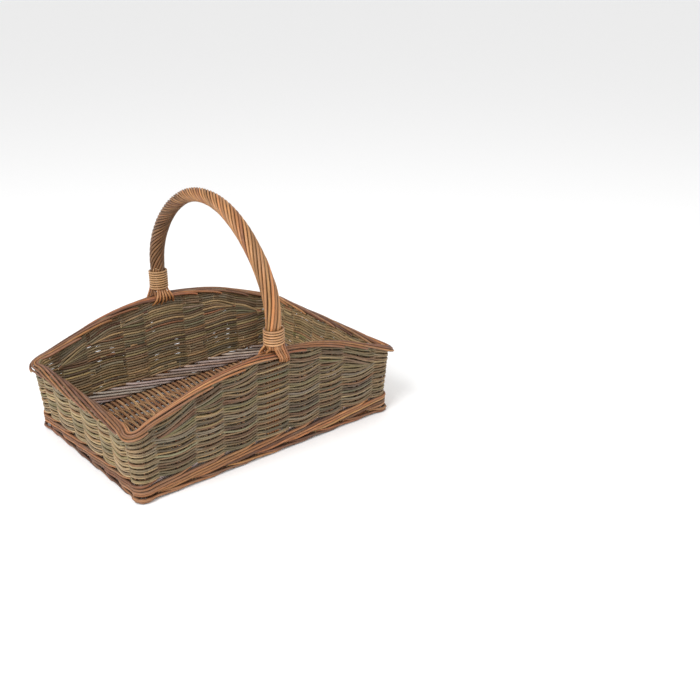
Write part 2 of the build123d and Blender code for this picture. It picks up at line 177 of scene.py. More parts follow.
@dataclass(frozen=True)
class Bark:
    """The colours that the rods of one bundle are picked from."""

    colours: tuple[tuple[int, int, int], ...]
    shares: tuple[float, ...]
    spread: float = 0.10
    tint_share: float = 0.25
    drift: float = 0.5
    limits: tuple[float, float] = (0.005, 0.9)

    def pick(self, rng: np.random.Generator) -> np.ndarray:
        """Pick one rod's colour, as linear red, green and blue."""
        odds = np.array(self.shares, float)
        chosen = linear_light(self.colours[rng.choice(len(self.colours), p=odds / odds.sum())])
        tint = rng.normal(1, self.spread) * rng.normal(1, self.spread * self.tint_share, 3)
        return np.clip(chosen * tint, *self.limits)

    def pick_run(self, rng: np.random.Generator, count: int) -> np.ndarray:
        """Pick a colour that drifts to another along a rod."""
        first = self.pick(rng)
        last = self.pick(rng) * self.drift + first * (1 - self.drift)
        share = np.linspace(0, 1, count)[:, None]
        return first * (1 - share) + last * share


@dataclass
class Rod:
    """One willow rod: a round, tapered tube along a line, in millimetres."""

    line: np.ndarray
    radii: np.ndarray
    bark: np.ndarray
    hints: Optional[np.ndarray] = None
    sides: int = 7
    cut_first: bool = False
    cut_last: bool = False
    # Share by which the rod's flanks are darkened as painted shade.
    painted_crevice_shade: float = 0.0
    offset: np.ndarray = field(default_factory=lambda: np.zeros(3))
    across: Optional[np.ndarray] = None
    upward: Optional[np.ndarray] = None
    along: Optional[np.ndarray] = None

    def __post_init__(self) -> None:
        """Work out the directions across the rod at each of its places."""
        count = len(self.line)
        self.radii = np.broadcast_to(np.asarray(self.radii, float), (count,)).copy()
        if self.bark.ndim == 1:
            self.bark = np.tile(self.bark, (count, 1))
        if self.across is not None:
            return
        way = unit(np.gradient(self.line, axis=0))
        if self.hints is None:
            self.across = self.carried(way)
        else:
            self.painted_crevice_shade = self.painted_crevice_shade or CREVICE_SHADE
            self.across = unit(self.hints - (self.hints * way).sum(1, keepdims=True) * way)
        self.upward = np.cross(way, self.across)
        self.along = lengths_along(self.line)

    @staticmethod
    def carried(way: np.ndarray) -> np.ndarray:
        """Carry one direction along the rod without twist."""
        first = np.array([1.0, 0.0, 0.0]) if abs(way[0][0]) < 0.8 else np.array([0.0, 1.0, 0.0])
        rows = []
        for step in way:
            first = first - (first @ step) * step
            first = first / np.linalg.norm(first)
            rows.append(first)
        return np.array(rows)

    def part(self, first: int, last: int) -> "Rod":
        """Give the stretch between two places, both included."""
        span = slice(first, last + 1)
        return replace(
            self,
            line=self.line[span],
            radii=self.radii[span],
            bark=self.bark[span],
            hints=None,
            across=self.across[span],
            upward=self.upward[span],
            along=self.along[span],
            cut_first=self.cut_first and first == 0,
            cut_last=self.cut_last and last == len(self.line) - 1,
        )

    def rings(self) -> tuple[np.ndarray, ...]:
        """Give the rod's places with one more just inside each cut end, so the pale cut has a crisp edge.

        Returns:
            The line, radii, bark, directions across and upward, distances along, and where it is cut.
        """
        places = np.arange(len(self.line), dtype=float)
        inset = np.minimum(LARGEST_CUT_SHARE, CUT_DEPTH / np.maximum(np.diff(self.along), 1e-6))
        extra = []
        if self.cut_first:
            extra.append(inset[0])
        if self.cut_last:
            extra.append(places[-1] - inset[-1])
        fine = np.sort(np.concatenate([places, extra]))
        cut = np.zeros(len(fine))
        cut[0] = float(self.cut_first)
        cut[-1] = float(self.cut_last)

        def at(rows: np.ndarray) -> np.ndarray:
            """Read rows at the finer places."""
            if rows.ndim == 1:
                return np.interp(fine, places, rows)
            return np.stack([np.interp(fine, places, column) for column in rows.T], axis=1)

        told = (self.line, self.radii, self.bark, self.across, self.upward, self.along)
        return *(at(rows) for rows in told), cut


class TubeStore:
    """Straight tubes drawn with bmesh operators, one for each count of sides and rings."""

    def __init__(self) -> None:
        """Start with no tubes."""
        self.tubes: dict[tuple[int, int], tuple[bpy.types.Mesh, np.ndarray]] = {}

    def tube(self, sides: int, rings: int) -> tuple[bpy.types.Mesh, np.ndarray]:
        """Give a tube of radius 1 with rings at whole heights.

        Args:
            sides: How many sides go round it.
            rings: How many rings of points it has.

        Returns:
            The mesh and its points.
        """
        key = (sides, rings)
        if key not in self.tubes:
            shape = bmesh.new()
            bmesh.ops.create_circle(shape, cap_ends=False, segments=sides, radius=1.0)
            bmesh.ops.spin(
                shape,
                geom=shape.verts[:] + shape.edges[:],
                cent=(0, 0, 0),
                axis=(0, 0, 1),
                dvec=(0, 0, 1),
                angle=0.0,
                steps=rings - 1,
                use_duplicate=False,
            )
            for face in shape.faces:
                face.smooth = True
            ends = [edge for edge in shape.edges if edge.is_boundary]
            caps = bmesh.ops.holes_fill(shape, edges=ends, sides=0)["faces"]
            for cap in caps:
                cap.smooth = False
            bmesh.ops.recalc_face_normals(shape, faces=shape.faces[:])
            mesh = bpy.data.meshes.new("straight_tube")
            shape.to_mesh(mesh)
            shape.free()
            points = np.empty(len(mesh.vertices) * 3)
            mesh.vertices.foreach_get("co", points)
            self.tubes[key] = (mesh, points.reshape(-1, 3))
        return self.tubes[key]

    def clear(self) -> None:
        """Remove the straight tubes once every rod is made."""
        for mesh, _ in self.tubes.values():
            bpy.data.meshes.remove(mesh)
        self.tubes.clear()


class RodPiece:
    """A named piece of the basket, gathered from many rods."""

    def __init__(self, name: str, slot: str, nodes: Sequence[str], store: TubeStore) -> None:
        """Start a piece without rods.

        Args:
            name: The piece's name.
            slot: Its material slot in the frame; kept on the piece but not used.
            nodes: The frame's nodes that it replaces.
            store: The straight tubes that its rods are bent from.
        """
        self.name = name
        self.slot = slot
        self.nodes = tuple(nodes)
        self.store = store
        self.rods: list[Rod] = []

    def add(self, rod: Rod) -> None:
        """Take one more rod."""
        self.rods.append(rod)

    def lay(
        self,
        rng: np.random.Generator,
        line: np.ndarray,
        radii: np.ndarray,
        bark: np.ndarray,
        **settings: object,
    ) -> None:
        """Take one more rod whose grain starts at a random place.

        Args:
            rng: Source of the random draws.
            line: The rod's middle line.
            radii: Its radius, at each place or everywhere.
            bark: Its colour, at each place or everywhere.
            settings: Any other of the rod's fields.
        """
        self.add(Rod(line, radii, bark, offset=rng.uniform(0, GRAIN_SHIFT, 3), **settings))

    def make(self, material: bpy.types.Material, floor: bool = False) -> bpy.types.Object:
        """Join the rods in one mesh, dress it and tie it to the frame.

        Args:
            material: The finish of every rod.
            floor: Whether the rods lie on the floor and are pressed flat there.

        Returns:
            The finished piece.
        """
        shape = bmesh.new()
        points, barks, grains = [], [], []
        for rod in self.rods:
            line, radii, bark, across, upward, along, cut = rod.rings()
            mesh, tube = self.store.tube(rod.sides, len(line))
            shape.from_mesh(mesh)
            ring = np.rint(tube[:, 2]).astype(int)
            turn = np.arctan2(tube[:, 1], tube[:, 0])
            wide, high = radii[ring] * np.cos(turn), radii[ring] * np.sin(turn)
            points.append(line[ring] + wide[:, None] * across[ring] + high[:, None] * upward[ring])
            # Painted shade: darken each rod's flanks, where its neighbours would shade it, and keep this in
            # the bark colour attribute along with the rod's own colour.
            painted_flank_shade = 1 - rod.painted_crevice_shade * np.abs(np.sin(turn)) ** CREVICE_POWER
            barks.append(np.column_stack([bark[ring] * painted_flank_shade[:, None], cut[ring]]))
            grains.append(np.column_stack([along[ring], wide, high]) * MM + rod.offset)
        mesh = bpy.data.meshes.new(self.name)
        shape.to_mesh(mesh)
        shape.free()
        places = np.concatenate(points) * MM
        if floor:
            places[:, 2] = np.maximum(places[:, 2], 0)
        mesh.vertices.foreach_set("co", places.ravel())
        for name, kind, value, rows in (
            ("bark", "FLOAT_COLOR", "color", barks),
            ("grain", "FLOAT_VECTOR", "vector", grains),
        ):
            mesh.attributes.new(name, kind, "POINT").data.foreach_set(value, np.concatenate(rows).ravel())
        mesh.materials.append(material)
        mesh.update()
        piece = bpy.data.objects.new(self.name, mesh)
        bpy.context.scene.collection.objects.link(piece)
        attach(piece, "root")
        if self.nodes:
            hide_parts(*self.nodes)
        count = sum(len(face.vertices) - 2 for face in mesh.polygons)
        log.info("%s: %d rods, %d triangles", self.name, len(self.rods), count)
        return piece


Layer = Callable[[RodPiece], None]


@dataclass(frozen=True)
class WallForm:
    """The wall's middle line, the same as the frame's, in millimetres."""

    base_length: float = 464.0
    base_width: float = 312.0
    length_flare: float = 20.0
    width_flare: float = 18.0
    corner_height: float = 119.0
    arch_height: float = 177.5
    corner_radius: float = 14.0
    arch_straight_share: float = 0.36
    crown_top: float = 2.85
    side_stakes: tuple[float, ...] = (57.60, 115.19, 172.79)
    end_stakes: tuple[float, ...] = (23.51, 70.53, 117.55)
    stake_width: float = 1.2
    corner_width: float = 8.0
    corner_power: float = 1.5
    handle_width: float = 12.0
    arch_rounds: int = 60
    border_rounds: int = 3

    def half_length(self, height: np.ndarray) -> np.ndarray:
        """Half the basket's length at a height."""
        return self.base_length / 2 + self.length_flare / 2 * height / self.corner_height

    def half_width(self, height: np.ndarray) -> np.ndarray:
        """Half the basket's width at a height."""
        return self.base_width / 2 + self.width_flare / 2 * height / self.arch_height

    @property
    def border_corner(self) -> float:
        """Height of the border's middle line at the corners."""
        return self.corner_height - self.crown_top

    @property
    def border_middle(self) -> float:
        """Height of the border's middle line under the handle."""
        return self.arch_height - self.crown_top

    @property
    def rim_half(self) -> float:
        """Half the basket's length at the border."""
        return self.half_length(self.border_corner)

    @property
    def arch_tangent(self) -> float:
        """Where the arch turns into a straight run."""
        return self.rim_half * (1 - self.arch_straight_share)

    @property
    def arch_angle(self) -> float:
        """Slope of the straight runs, as an angle."""
        rise = self.border_middle - self.border_corner
        run = self.rim_half - self.arch_tangent
        half_tangent = 0.0
        for _ in range(self.arch_rounds):
            bend = 1 - half_tangent**2
            half_tangent = rise * bend / (2 * run + self.arch_tangent * bend)
        return 2 * math.atan(half_tangent)

    def border_height(self, x: np.ndarray) -> np.ndarray:
        """Height of the border's middle line at a distance from the middle."""
        angle = self.arch_angle
        slope = math.tan(angle)
        radius = self.arch_tangent / math.sin(angle)
        apex = self.border_corner + slope * self.rim_half
        reach = np.abs(x)
        near = np.minimum(reach, self.arch_tangent)
        arch = self.border_middle - radius + np.sqrt(radius**2 - near**2)
        return np.where(reach < self.arch_tangent, arch, apex - slope * reach)

    @property
    def side_run(self) -> float:
        """Length of a long side's straight part at the foot."""
        return self.base_length - 2 * self.corner_radius

    @property
    def end_run(self) -> float:
        """Length of an end's straight part at the foot."""
        return self.base_width - 2 * self.corner_radius

    @property
    def corner_run(self) -> float:
        """Length of a corner's arc."""
        return self.corner_radius * math.pi / 2

    @property
    def starts(self) -> np.ndarray:
        """Where each panel starts along the line round the basket, and the whole length."""
        lengths = [self.side_run, self.corner_run, self.end_run, self.corner_run] * 2
        return np.concatenate([[0], np.cumsum(lengths)])

    def stake_runs(self) -> tuple[np.ndarray, np.ndarray]:
        """Where the stakes stand along the line round the basket, and half the width of each.

        Returns:
            The places in order, with each handle foot as one wide stake, and the half widths.
        """
        side = sorted([0.0] + [way * x for x in self.side_stakes for way in (-1, 1)])
        end = sorted(way * y for y in self.end_stakes for way in (-1, 1))
        turn = [math.pi / 4 * self.corner_radius]
        places, widths = [], []
        for index, start in enumerate(self.starts[:-1]):
            if index % 2:
                group = turn
            elif index % 4:
                group = [self.end_run / 2 + y for y in end]
            else:
                group = [self.side_run / 2 + x for x in side]
            for place in group:
                places.append(start + place)
                handle = index % 4 == 0 and abs(place - self.side_run / 2) < 1
                wide = self.handle_width if handle else self.stake_width
                widths.append(self.corner_width if index % 2 else wide)
        return np.array(places), np.array(widths)

    def place(self, run: np.ndarray, height: np.ndarray, out: np.ndarray) -> tuple[np.ndarray, np.ndarray]:
        """Find points of the wall.

        Args:
            run: Distances round the basket from the front left, at the foot.
            height: Heights above the floor.
            out: Distances outwards from the middle line.

        Returns:
            The points, and the outward direction at each.
        """
        starts = self.starts
        run = np.mod(np.asarray(run, float), starts[-1])
        height = np.broadcast_to(np.asarray(height, float), run.shape)
        out = np.broadcast_to(np.asarray(out, float), run.shape)
        centre_x = self.half_length(height) - self.corner_radius
        centre_y = self.half_width(height) - self.corner_radius
        points = np.zeros(run.shape + (3,))
        outward = np.zeros(run.shape + (3,))
        index = np.clip(np.searchsorted(starts, run, side="right") - 1, 0, 7)
        for panel in range(8):
            here = index == panel
            if not here.any():
                continue
            local = run[here] - starts[panel]
            quarter = panel // 2
            turn = quarter * math.pi / 2
            if panel % 2:
                angle = -math.pi / 2 + turn + local / self.corner_radius
                way = np.stack([np.cos(angle), np.sin(angle)], axis=1)
                sign = ((1, -1), (1, 1), (-1, 1), (-1, -1))[quarter]
                centre = np.stack([centre_x[here] * sign[0], centre_y[here] * sign[1]], axis=1)
                flat = centre + way * (self.corner_radius + out[here])[:, None]
            else:
                long_side = quarter % 2 == 0
                last = (self.side_stakes if long_side else self.end_stakes)[-1]
                half = (self.side_run if long_side else self.end_run) / 2
                reach = (centre_x if long_side else centre_y)[here]
                deep = (centre_y if long_side else centre_x)[here] + self.corner_radius + out[here]
                offset = local - half
                far = np.maximum(np.abs(offset) - last, 0)
                stretched = np.minimum(np.abs(offset), last) + far * (reach - last) / (half - last)
                offset = np.sign(offset) * stretched
                cos, sin = round(math.cos(turn)), round(math.sin(turn))
                flat = np.stack([offset * cos + deep * sin, offset * sin - deep * cos], axis=1)
                way = np.tile([float(sin), float(-cos)], (len(local), 1))
            points[here, :2] = flat
            outward[here, :2] = way
        points[..., 2] = height
        return points, outward

    def corner_share(self, run: np.ndarray, reach: float) -> np.ndarray:
        """Tell how near each place is to a corner's middle: 1 there and 0 a reach away."""
        middles = self.starts[1::2] + self.corner_run / 2
        away = ring_gap(np.asarray(run)[:, None], middles, self.starts[-1])
        return (1 - smooth(away.min(axis=1), 0, reach)) ** self.corner_power

    def border_at(self, run: np.ndarray, out: np.ndarray, rise: np.ndarray) -> tuple[np.ndarray, np.ndarray]:
        """Find points beside the border's middle line.

        Args:
            run: Distances round the basket.
            out: Distances outwards from the border's middle line.
            rise: Heights above it.

        Returns:
            The points, and the outward direction at each.
        """
        height = np.full(np.shape(run), self.border_corner)
        for _ in range(self.border_rounds):
            points, _ = self.place(run, height, out)
            height = self.border_height(points[:, 0]) + rise
        return self.place(run, height, out)


@dataclass
class StakeLine:
    """The stakes in order round the basket, as the weavers meet them."""

    form: WallForm

    def __post_init__(self) -> None:
        """Lay out the stakes over three rounds, so that a run may pass either end."""
        self.places, self.widths = self.form.stake_runs()
        self.count = len(self.places)
        self.total = self.form.starts[-1]
        shifts = [-self.total, 0.0, self.total]
        self.all_places = np.concatenate([self.places + shift for shift in shifts])
        self.all_widths = np.tile(self.widths, 3)
        self.numbers = np.arange(-self.count, 2 * self.count, dtype=float)
        self.count_to_handle = int(np.argmax(self.widths))

    def phase(self, run: np.ndarray) -> np.ndarray:
        """Give the stake number at each distance, with a rest at each stake's own width."""
        places = np.stack([self.all_places - self.all_widths, self.all_places + self.all_widths], axis=1)
        return np.interp(run, places.ravel(), np.repeat(self.numbers, 2))

    def number(self, run: np.ndarray) -> np.ndarray:
        """Give the stake number at each distance, evenly between the stakes."""
        return np.interp(run, self.all_places, self.numbers)

    def run_of(self, number: np.ndarray) -> np.ndarray:
        """Give the distance round the basket for a stake number, whole or not."""
        return np.interp(number, self.numbers, self.all_places)


@dataclass
class Siding:
    """The woven walls: pairs of thin rods, low outside one stake and half a row higher inside the next."""

    form: WallForm
    stakes: StakeLine
    bark: Bark
    end_bark: Bark
    seed: int = 11
    sides: int = 6
    station: float = 4.6
    bottom: float = 29.5
    row_pitch: float = 9.2
    low_rows: int = 6
    top_rows: int = 3
    pack_steps: tuple[int, ...] = (4, 3, 3, 3, 2, 2, 1)
    pack_ease: tuple[float, float] = (-18.0, 30.0)
    under_border: float = 3.0
    swing: float = 3.45
    crossing: float = 1.5
    tuck_reach: float = 14.0
    tuck_depth: float = 1.6
    height_drift: tuple[float, float] = (42.0, 0.5)
    out_drift: tuple[float, float] = (38.0, 0.25)
    out_limits: tuple[float, float] = (-4.3, 4.1)
    outer_stack: float = 1.35
    far_stack: float = 1.75
    inner_stack: float = 2.2
    crossing_stack: float = 2.3
    far_thicker: float = 0.06
    far_stroke_thicker: float = 0.25
    # Painted light: the far walls' weavers are made this share lighter.
    far_painted_light: float = 0.24
    # Painted shade on the weavers' flanks, weaker than on the other rods.
    painted_crevice_shade: float = 0.42
    end_reach: int = 6
    joint_reach: int = 3
    bark_reach: int = 4
    family_lift: float = 1.15
    butt_radius: float = 1.98
    butt_range: tuple[float, float] = (0.9, 1.1)
    tip_radius: float = 1.7
    tip_range: tuple[float, float] = (0.92, 1.1)
    shortest: float = 380.0
    longest: float = 850.0

    def __post_init__(self) -> None:
        """Lay out the stations and the height of every row at each."""
        self.rng = np.random.default_rng(self.seed)
        marks = np.unique(np.round(np.concatenate([self.form.starts[:-1], self.stakes.places]), 6))
        grid = []
        for first, last in zip(marks, np.append(marks[1:], self.stakes.total)):
            count = max(1, round((last - first) / self.station))
            grid.extend(np.linspace(first, last, count, endpoint=False))
        self.grid = np.array(grid)
        self.count = len(self.grid)
        middle = (self.grid + np.append(self.grid[1:], self.stakes.total)) / 2
        self.panel_of = np.clip(np.searchsorted(self.form.starts, middle, side="right") - 1, 0, 7)
        self.stake_at = [int(np.argmin(np.abs(self.grid - place))) for place in self.stakes.places]
        self.level_rows()

    def level_rows(self) -> None:
        """Work out every row's middle and top at each station, level rows first, arched ones after."""
        points, _ = self.form.border_at(self.grid, np.zeros(self.count), np.zeros(self.count))
        top = self.form.border_height(points[:, 0]) - self.under_border
        handle = self.stakes.count_to_handle
        weights = []
        for steps in self.pack_steps:
            reach = self.stakes.places[handle + steps] - self.stakes.places[handle]
            share = np.zeros(self.count)
            for middle in self.stakes.places[[handle, handle + self.stakes.count // 2]]:
                away = ring_gap(self.grid, middle, self.stakes.total)
                share = np.maximum(share, 1 - smooth(away, *(reach + ease for ease in self.pack_ease)))
            weights.append(share)
        weights += [np.ones(self.count)] * self.top_rows
        shares = np.cumsum(weights, axis=0) / np.sum(weights, axis=0)
        level = self.bottom + self.row_pitch * self.low_rows
        low = [np.full(self.count, self.bottom + self.row_pitch * (row + 1)) for row in range(self.low_rows)]
        self.tops = np.array(low + list(level + shares * (top - level)))
        bottoms = np.concatenate([np.full((1, self.count), self.bottom), self.tops[:-1]])
        self.middles = (self.tops + bottoms) / 2

    def weaver(self, row: int, parity: int, member: int, first: int, last: int) -> Rod:
        """Weave one rod of a pair between two stations.

        Args:
            row: Which row it lies in.
            parity: Whether it passes outside the even stakes (0) or the odd ones (1).
            member: -1 for the lower rod of the pair and 1 for the upper.
            first: Number of its first station, which may lie beyond either end of the round.
            last: Number of its last station.

        Returns:
            The rod.
        """
        rng = self.rng
        index = np.arange(first, last + 1)
        wrap = index % self.count
        run = self.grid[wrap] + (index // self.count) * self.stakes.total
        wave = np.cos(math.pi * (self.stakes.phase(run) + parity))
        away = run - run[0]
        share = away / max(away[-1], 1)
        butt = self.butt_radius * rng.uniform(*self.butt_range)
        tip = self.tip_radius * rng.uniform(*self.tip_range)
        radii = butt * (1 - share) + tip * share
        far = np.isin(self.panel_of[wrap], FAR_PANELS)
        radii = radii * (1 + (self.far_thicker + self.far_stroke_thicker * np.abs(wave)) * far)
        crossed = np.interp(wave, (-1, 0), (self.inner_stack, self.crossing_stack))
        outer = np.where(far, self.far_stack, self.outer_stack)
        stack = member * (crossed + (outer - crossed) * np.clip(wave, 0, 1))
        middle, top = self.middles[row][wrap], self.tops[row][wrap]
        tuck = 1 - smooth(np.minimum(away, away[-1] - away), 0, self.tuck_reach)
        crossing = (1 - 2 * parity) * (1 - np.abs(wave))
        squeeze = np.clip((top - middle) / (self.row_pitch / 2), 0, 1)
        lift = (stack + self.family_lift * crossing) * squeeze
        height = middle + (top - middle) * (1 - wave) / 2 + lift + wander(rng, run, *self.height_drift)
        out = self.swing * wave + self.crossing * crossing - self.tuck_depth * tuck
        out = out + wander(rng, run, *self.out_drift)
        points, outward = self.form.place(run, height, np.clip(out, *self.out_limits))
        beside = np.arange(-self.bark_reach, self.bark_reach + 1)
        ends = self.panel_of[(index[:, None] + beside) % self.count] % 4 != 0
        paler = ends.mean(axis=1)[:, None]
        bark = self.bark.pick_run(rng, len(index)) * (1 - paler)
        bark = bark + self.end_bark.pick_run(rng, len(index)) * paler
        # Painted light: the bark on the far walls is lightened.
        bark = bark * (1 + self.far_painted_light * far)[:, None]
        return Rod(
            points, radii, bark, hints=outward, sides=self.sides, painted_crevice_shade=self.painted_crevice_shade,
            offset=rng.uniform(0, GRAIN_SHIFT, 3), **BOTH_CUT,
        )

    def joints(self, first: int, last: int, parity: int) -> list[int]:
        """Pick the stakes between two where one rod gives way to the next, all on the inside.

        Args:
            first: Number of the stake where the row starts.
            last: Number of the stake where it ends.
            parity: Whether its rods pass outside the even stakes (0) or the odd ones (1).

        Returns:
            The stakes in order, with both ends.
        """
        rng = self.rng
        chosen = [first]
        wanted = rng.uniform(self.shortest / 2, self.longest)
        for here in range(first + 2, last - 1):
            gone = self.stakes.run_of(here) - self.stakes.run_of(chosen[-1])
            if (here + parity) % 2 and gone >= wanted:
                chosen.append(here)
                wanted = rng.uniform(self.shortest, self.longest)
        return chosen + [last]

    def station_of(self, number: int) -> int:
        """Give the station at a stake, which may lie beyond either end of the round."""
        count = self.stakes.count
        return self.stake_at[number % count] + (number // count) * self.count

    def spread(self, pieces: dict[str, RodPiece], rod: Rod, first: int) -> None:
        """Share a rod out among the wall's panels, cut where two of them meet."""
        panels = self.panel_of[np.arange(first, first + len(rod.line) - 1) % self.count]
        cuts = [0] + [place + 1 for place in np.nonzero(np.diff(panels))[0]] + [len(rod.line) - 1]
        order = [panel.value for panel in Panel]
        for start, end in zip(cuts, cuts[1:]):
            pieces[order[panels[start]]].add(rod.part(start, end))

    def lay_row(self, pieces: dict[str, RodPiece], row: int, start: int, end: int) -> None:
        """Weave both families of a row between two stakes."""
        for parity in (0, 1):
            for member in (-1, 1):
                stops = self.joints(start, end, parity)
                for here, there in zip(stops, stops[1:]):
                    first = self.station_of(here) - (self.end_reach if here == start else self.joint_reach)
                    last = self.station_of(there) + (self.end_reach if there == end else self.joint_reach)
                    self.spread(pieces, self.weaver(row, parity, member, first, last), first)

    def weave(self, pieces: dict[str, RodPiece]) -> None:
        """Weave every row into the panels' pieces."""
        count, handle = self.stakes.count, self.stakes.count_to_handle
        for row in range(len(self.tops)):
            packed = row - self.low_rows
            if 0 <= packed < len(self.pack_steps):
                steps = self.pack_steps[packed]
                for middle in (handle, handle + count // 2):
                    self.lay_row(pieces, row, middle - steps, middle + steps)
            else:
                start = int(self.rng.integers(0, count))
                self.lay_row(pieces, row, start, start + count)


@dataclass
class Stakes:
    """The upright stakes, from the foot to just under the border."""

    form: WallForm
    stakes: StakeLine
    bark: Bark
    seed: int = 23
    sides: int = 10
    rings: int = 26
    radius: float = 2.35
    radius_range: tuple[float, float] = (0.97, 1.03)
    top_share: float = 0.88
    foot: float = 2.4
    below_border: float = 2.6
    lean: tuple[float, float] = (40.0, 0.35)
    corner_apart: float = 7.09

    def raise_all(self, pieces: dict[str, RodPiece]) -> None:
        """Raise one stake at each place, with the handle's feet left out."""
        rng = np.random.default_rng(self.seed)
        order = ("front", "right", "back", "left")
        for run, width in zip(self.stakes.places, self.stakes.widths):
            panel = int(np.searchsorted(self.form.starts, run, side="right")) - 1
            if panel % 2:
                for way in (-1, 1):
                    self.raise_one(rng, pieces["corner"], run + way * self.corner_apart)
            elif width < self.form.handle_width:
                self.raise_one(rng, pieces[order[panel // 2]], run)

    def raise_one(self, rng: np.random.Generator, piece: RodPiece, run: float) -> None:
        """Raise the stake at one place."""
        top_point, _ = self.form.border_at(np.array([run]), np.zeros(1), np.array([-self.below_border]))
        heights = np.linspace(self.foot, top_point[0, 2], self.rings)
        lean = wander(rng, heights, *self.lean)
        points, outward = self.form.place(run + lean, heights, np.zeros(self.rings))
        foot_radius = self.radius * rng.uniform(*self.radius_range)
        radii = np.linspace(foot_radius, self.radius * self.top_share, self.rings)
        bark = self.bark.pick_run(rng, self.rings)
        piece.lay(rng, points, radii, bark, hints=outward, sides=self.sides, cut_first=True)


@dataclass
class Wale:
    """Rounds of thick rods at the foot of the wall, each a slanted stroke past a few stakes."""

    form: WallForm
    stakes: StakeLine
    bark: Bark
    seed: int
    low: float
    high: float
    out: float
    reach: float
    radius: float
    start: float = 0.4
    depth: float = 0.4
    point: float = 2.0
    point_reach: float = 22.0
    per_stake: int = 2
    sides: int = 9
    station: float = 5.0
    fewest_rings: int = 8
    tucked: float = 0.12
    beat: float = 0.3
    height_drift: tuple[float, float] = (40.0, 0.4)
    out_drift: tuple[float, float] = (40.0, 0.3)
    radius_range: tuple[float, float] = (0.96, 1.08)
    thinner: float = 0.16

    def lay(self, piece: RodPiece) -> None:
        """Lay one stroke from each stake."""
        rng = np.random.default_rng(self.seed)
        for number in np.arange(0, self.stakes.count, 1 / self.per_stake):
            ends = self.stakes.run_of(np.array([number + self.start, number + self.start + self.reach]))
            count = max(self.fewest_rings, int((ends[1] - ends[0]) / self.station))
            run = np.linspace(ends[0], ends[1], count)
            share = np.linspace(0, 1, len(run))
            phase = self.stakes.number(run) - number - self.start
            emerge = np.minimum(smooth(phase, 0, self.depth), smooth(self.reach - phase, 0, self.depth))
            beat = np.cos(FULL_TURN * self.stakes.number(run))
            out = self.out * (self.tucked + (1 - self.tucked) * emerge)
            out = out + math.copysign(self.beat, self.out) * beat
            height = self.low + (self.high - self.low) * share + wander(rng, run, *self.height_drift)
            out = out + self.point * self.form.corner_share(run, self.point_reach)
            out = out + wander(rng, run, *self.out_drift)
            points, outward = self.form.place(run, height, out)
            radii = self.radius * rng.uniform(*self.radius_range) * (1 - self.thinner * share)
            bark = self.bark.pick_run(rng, len(run))
            piece.lay(rng, points, radii, bark, hints=outward, sides=self.sides, **BOTH_CUT)


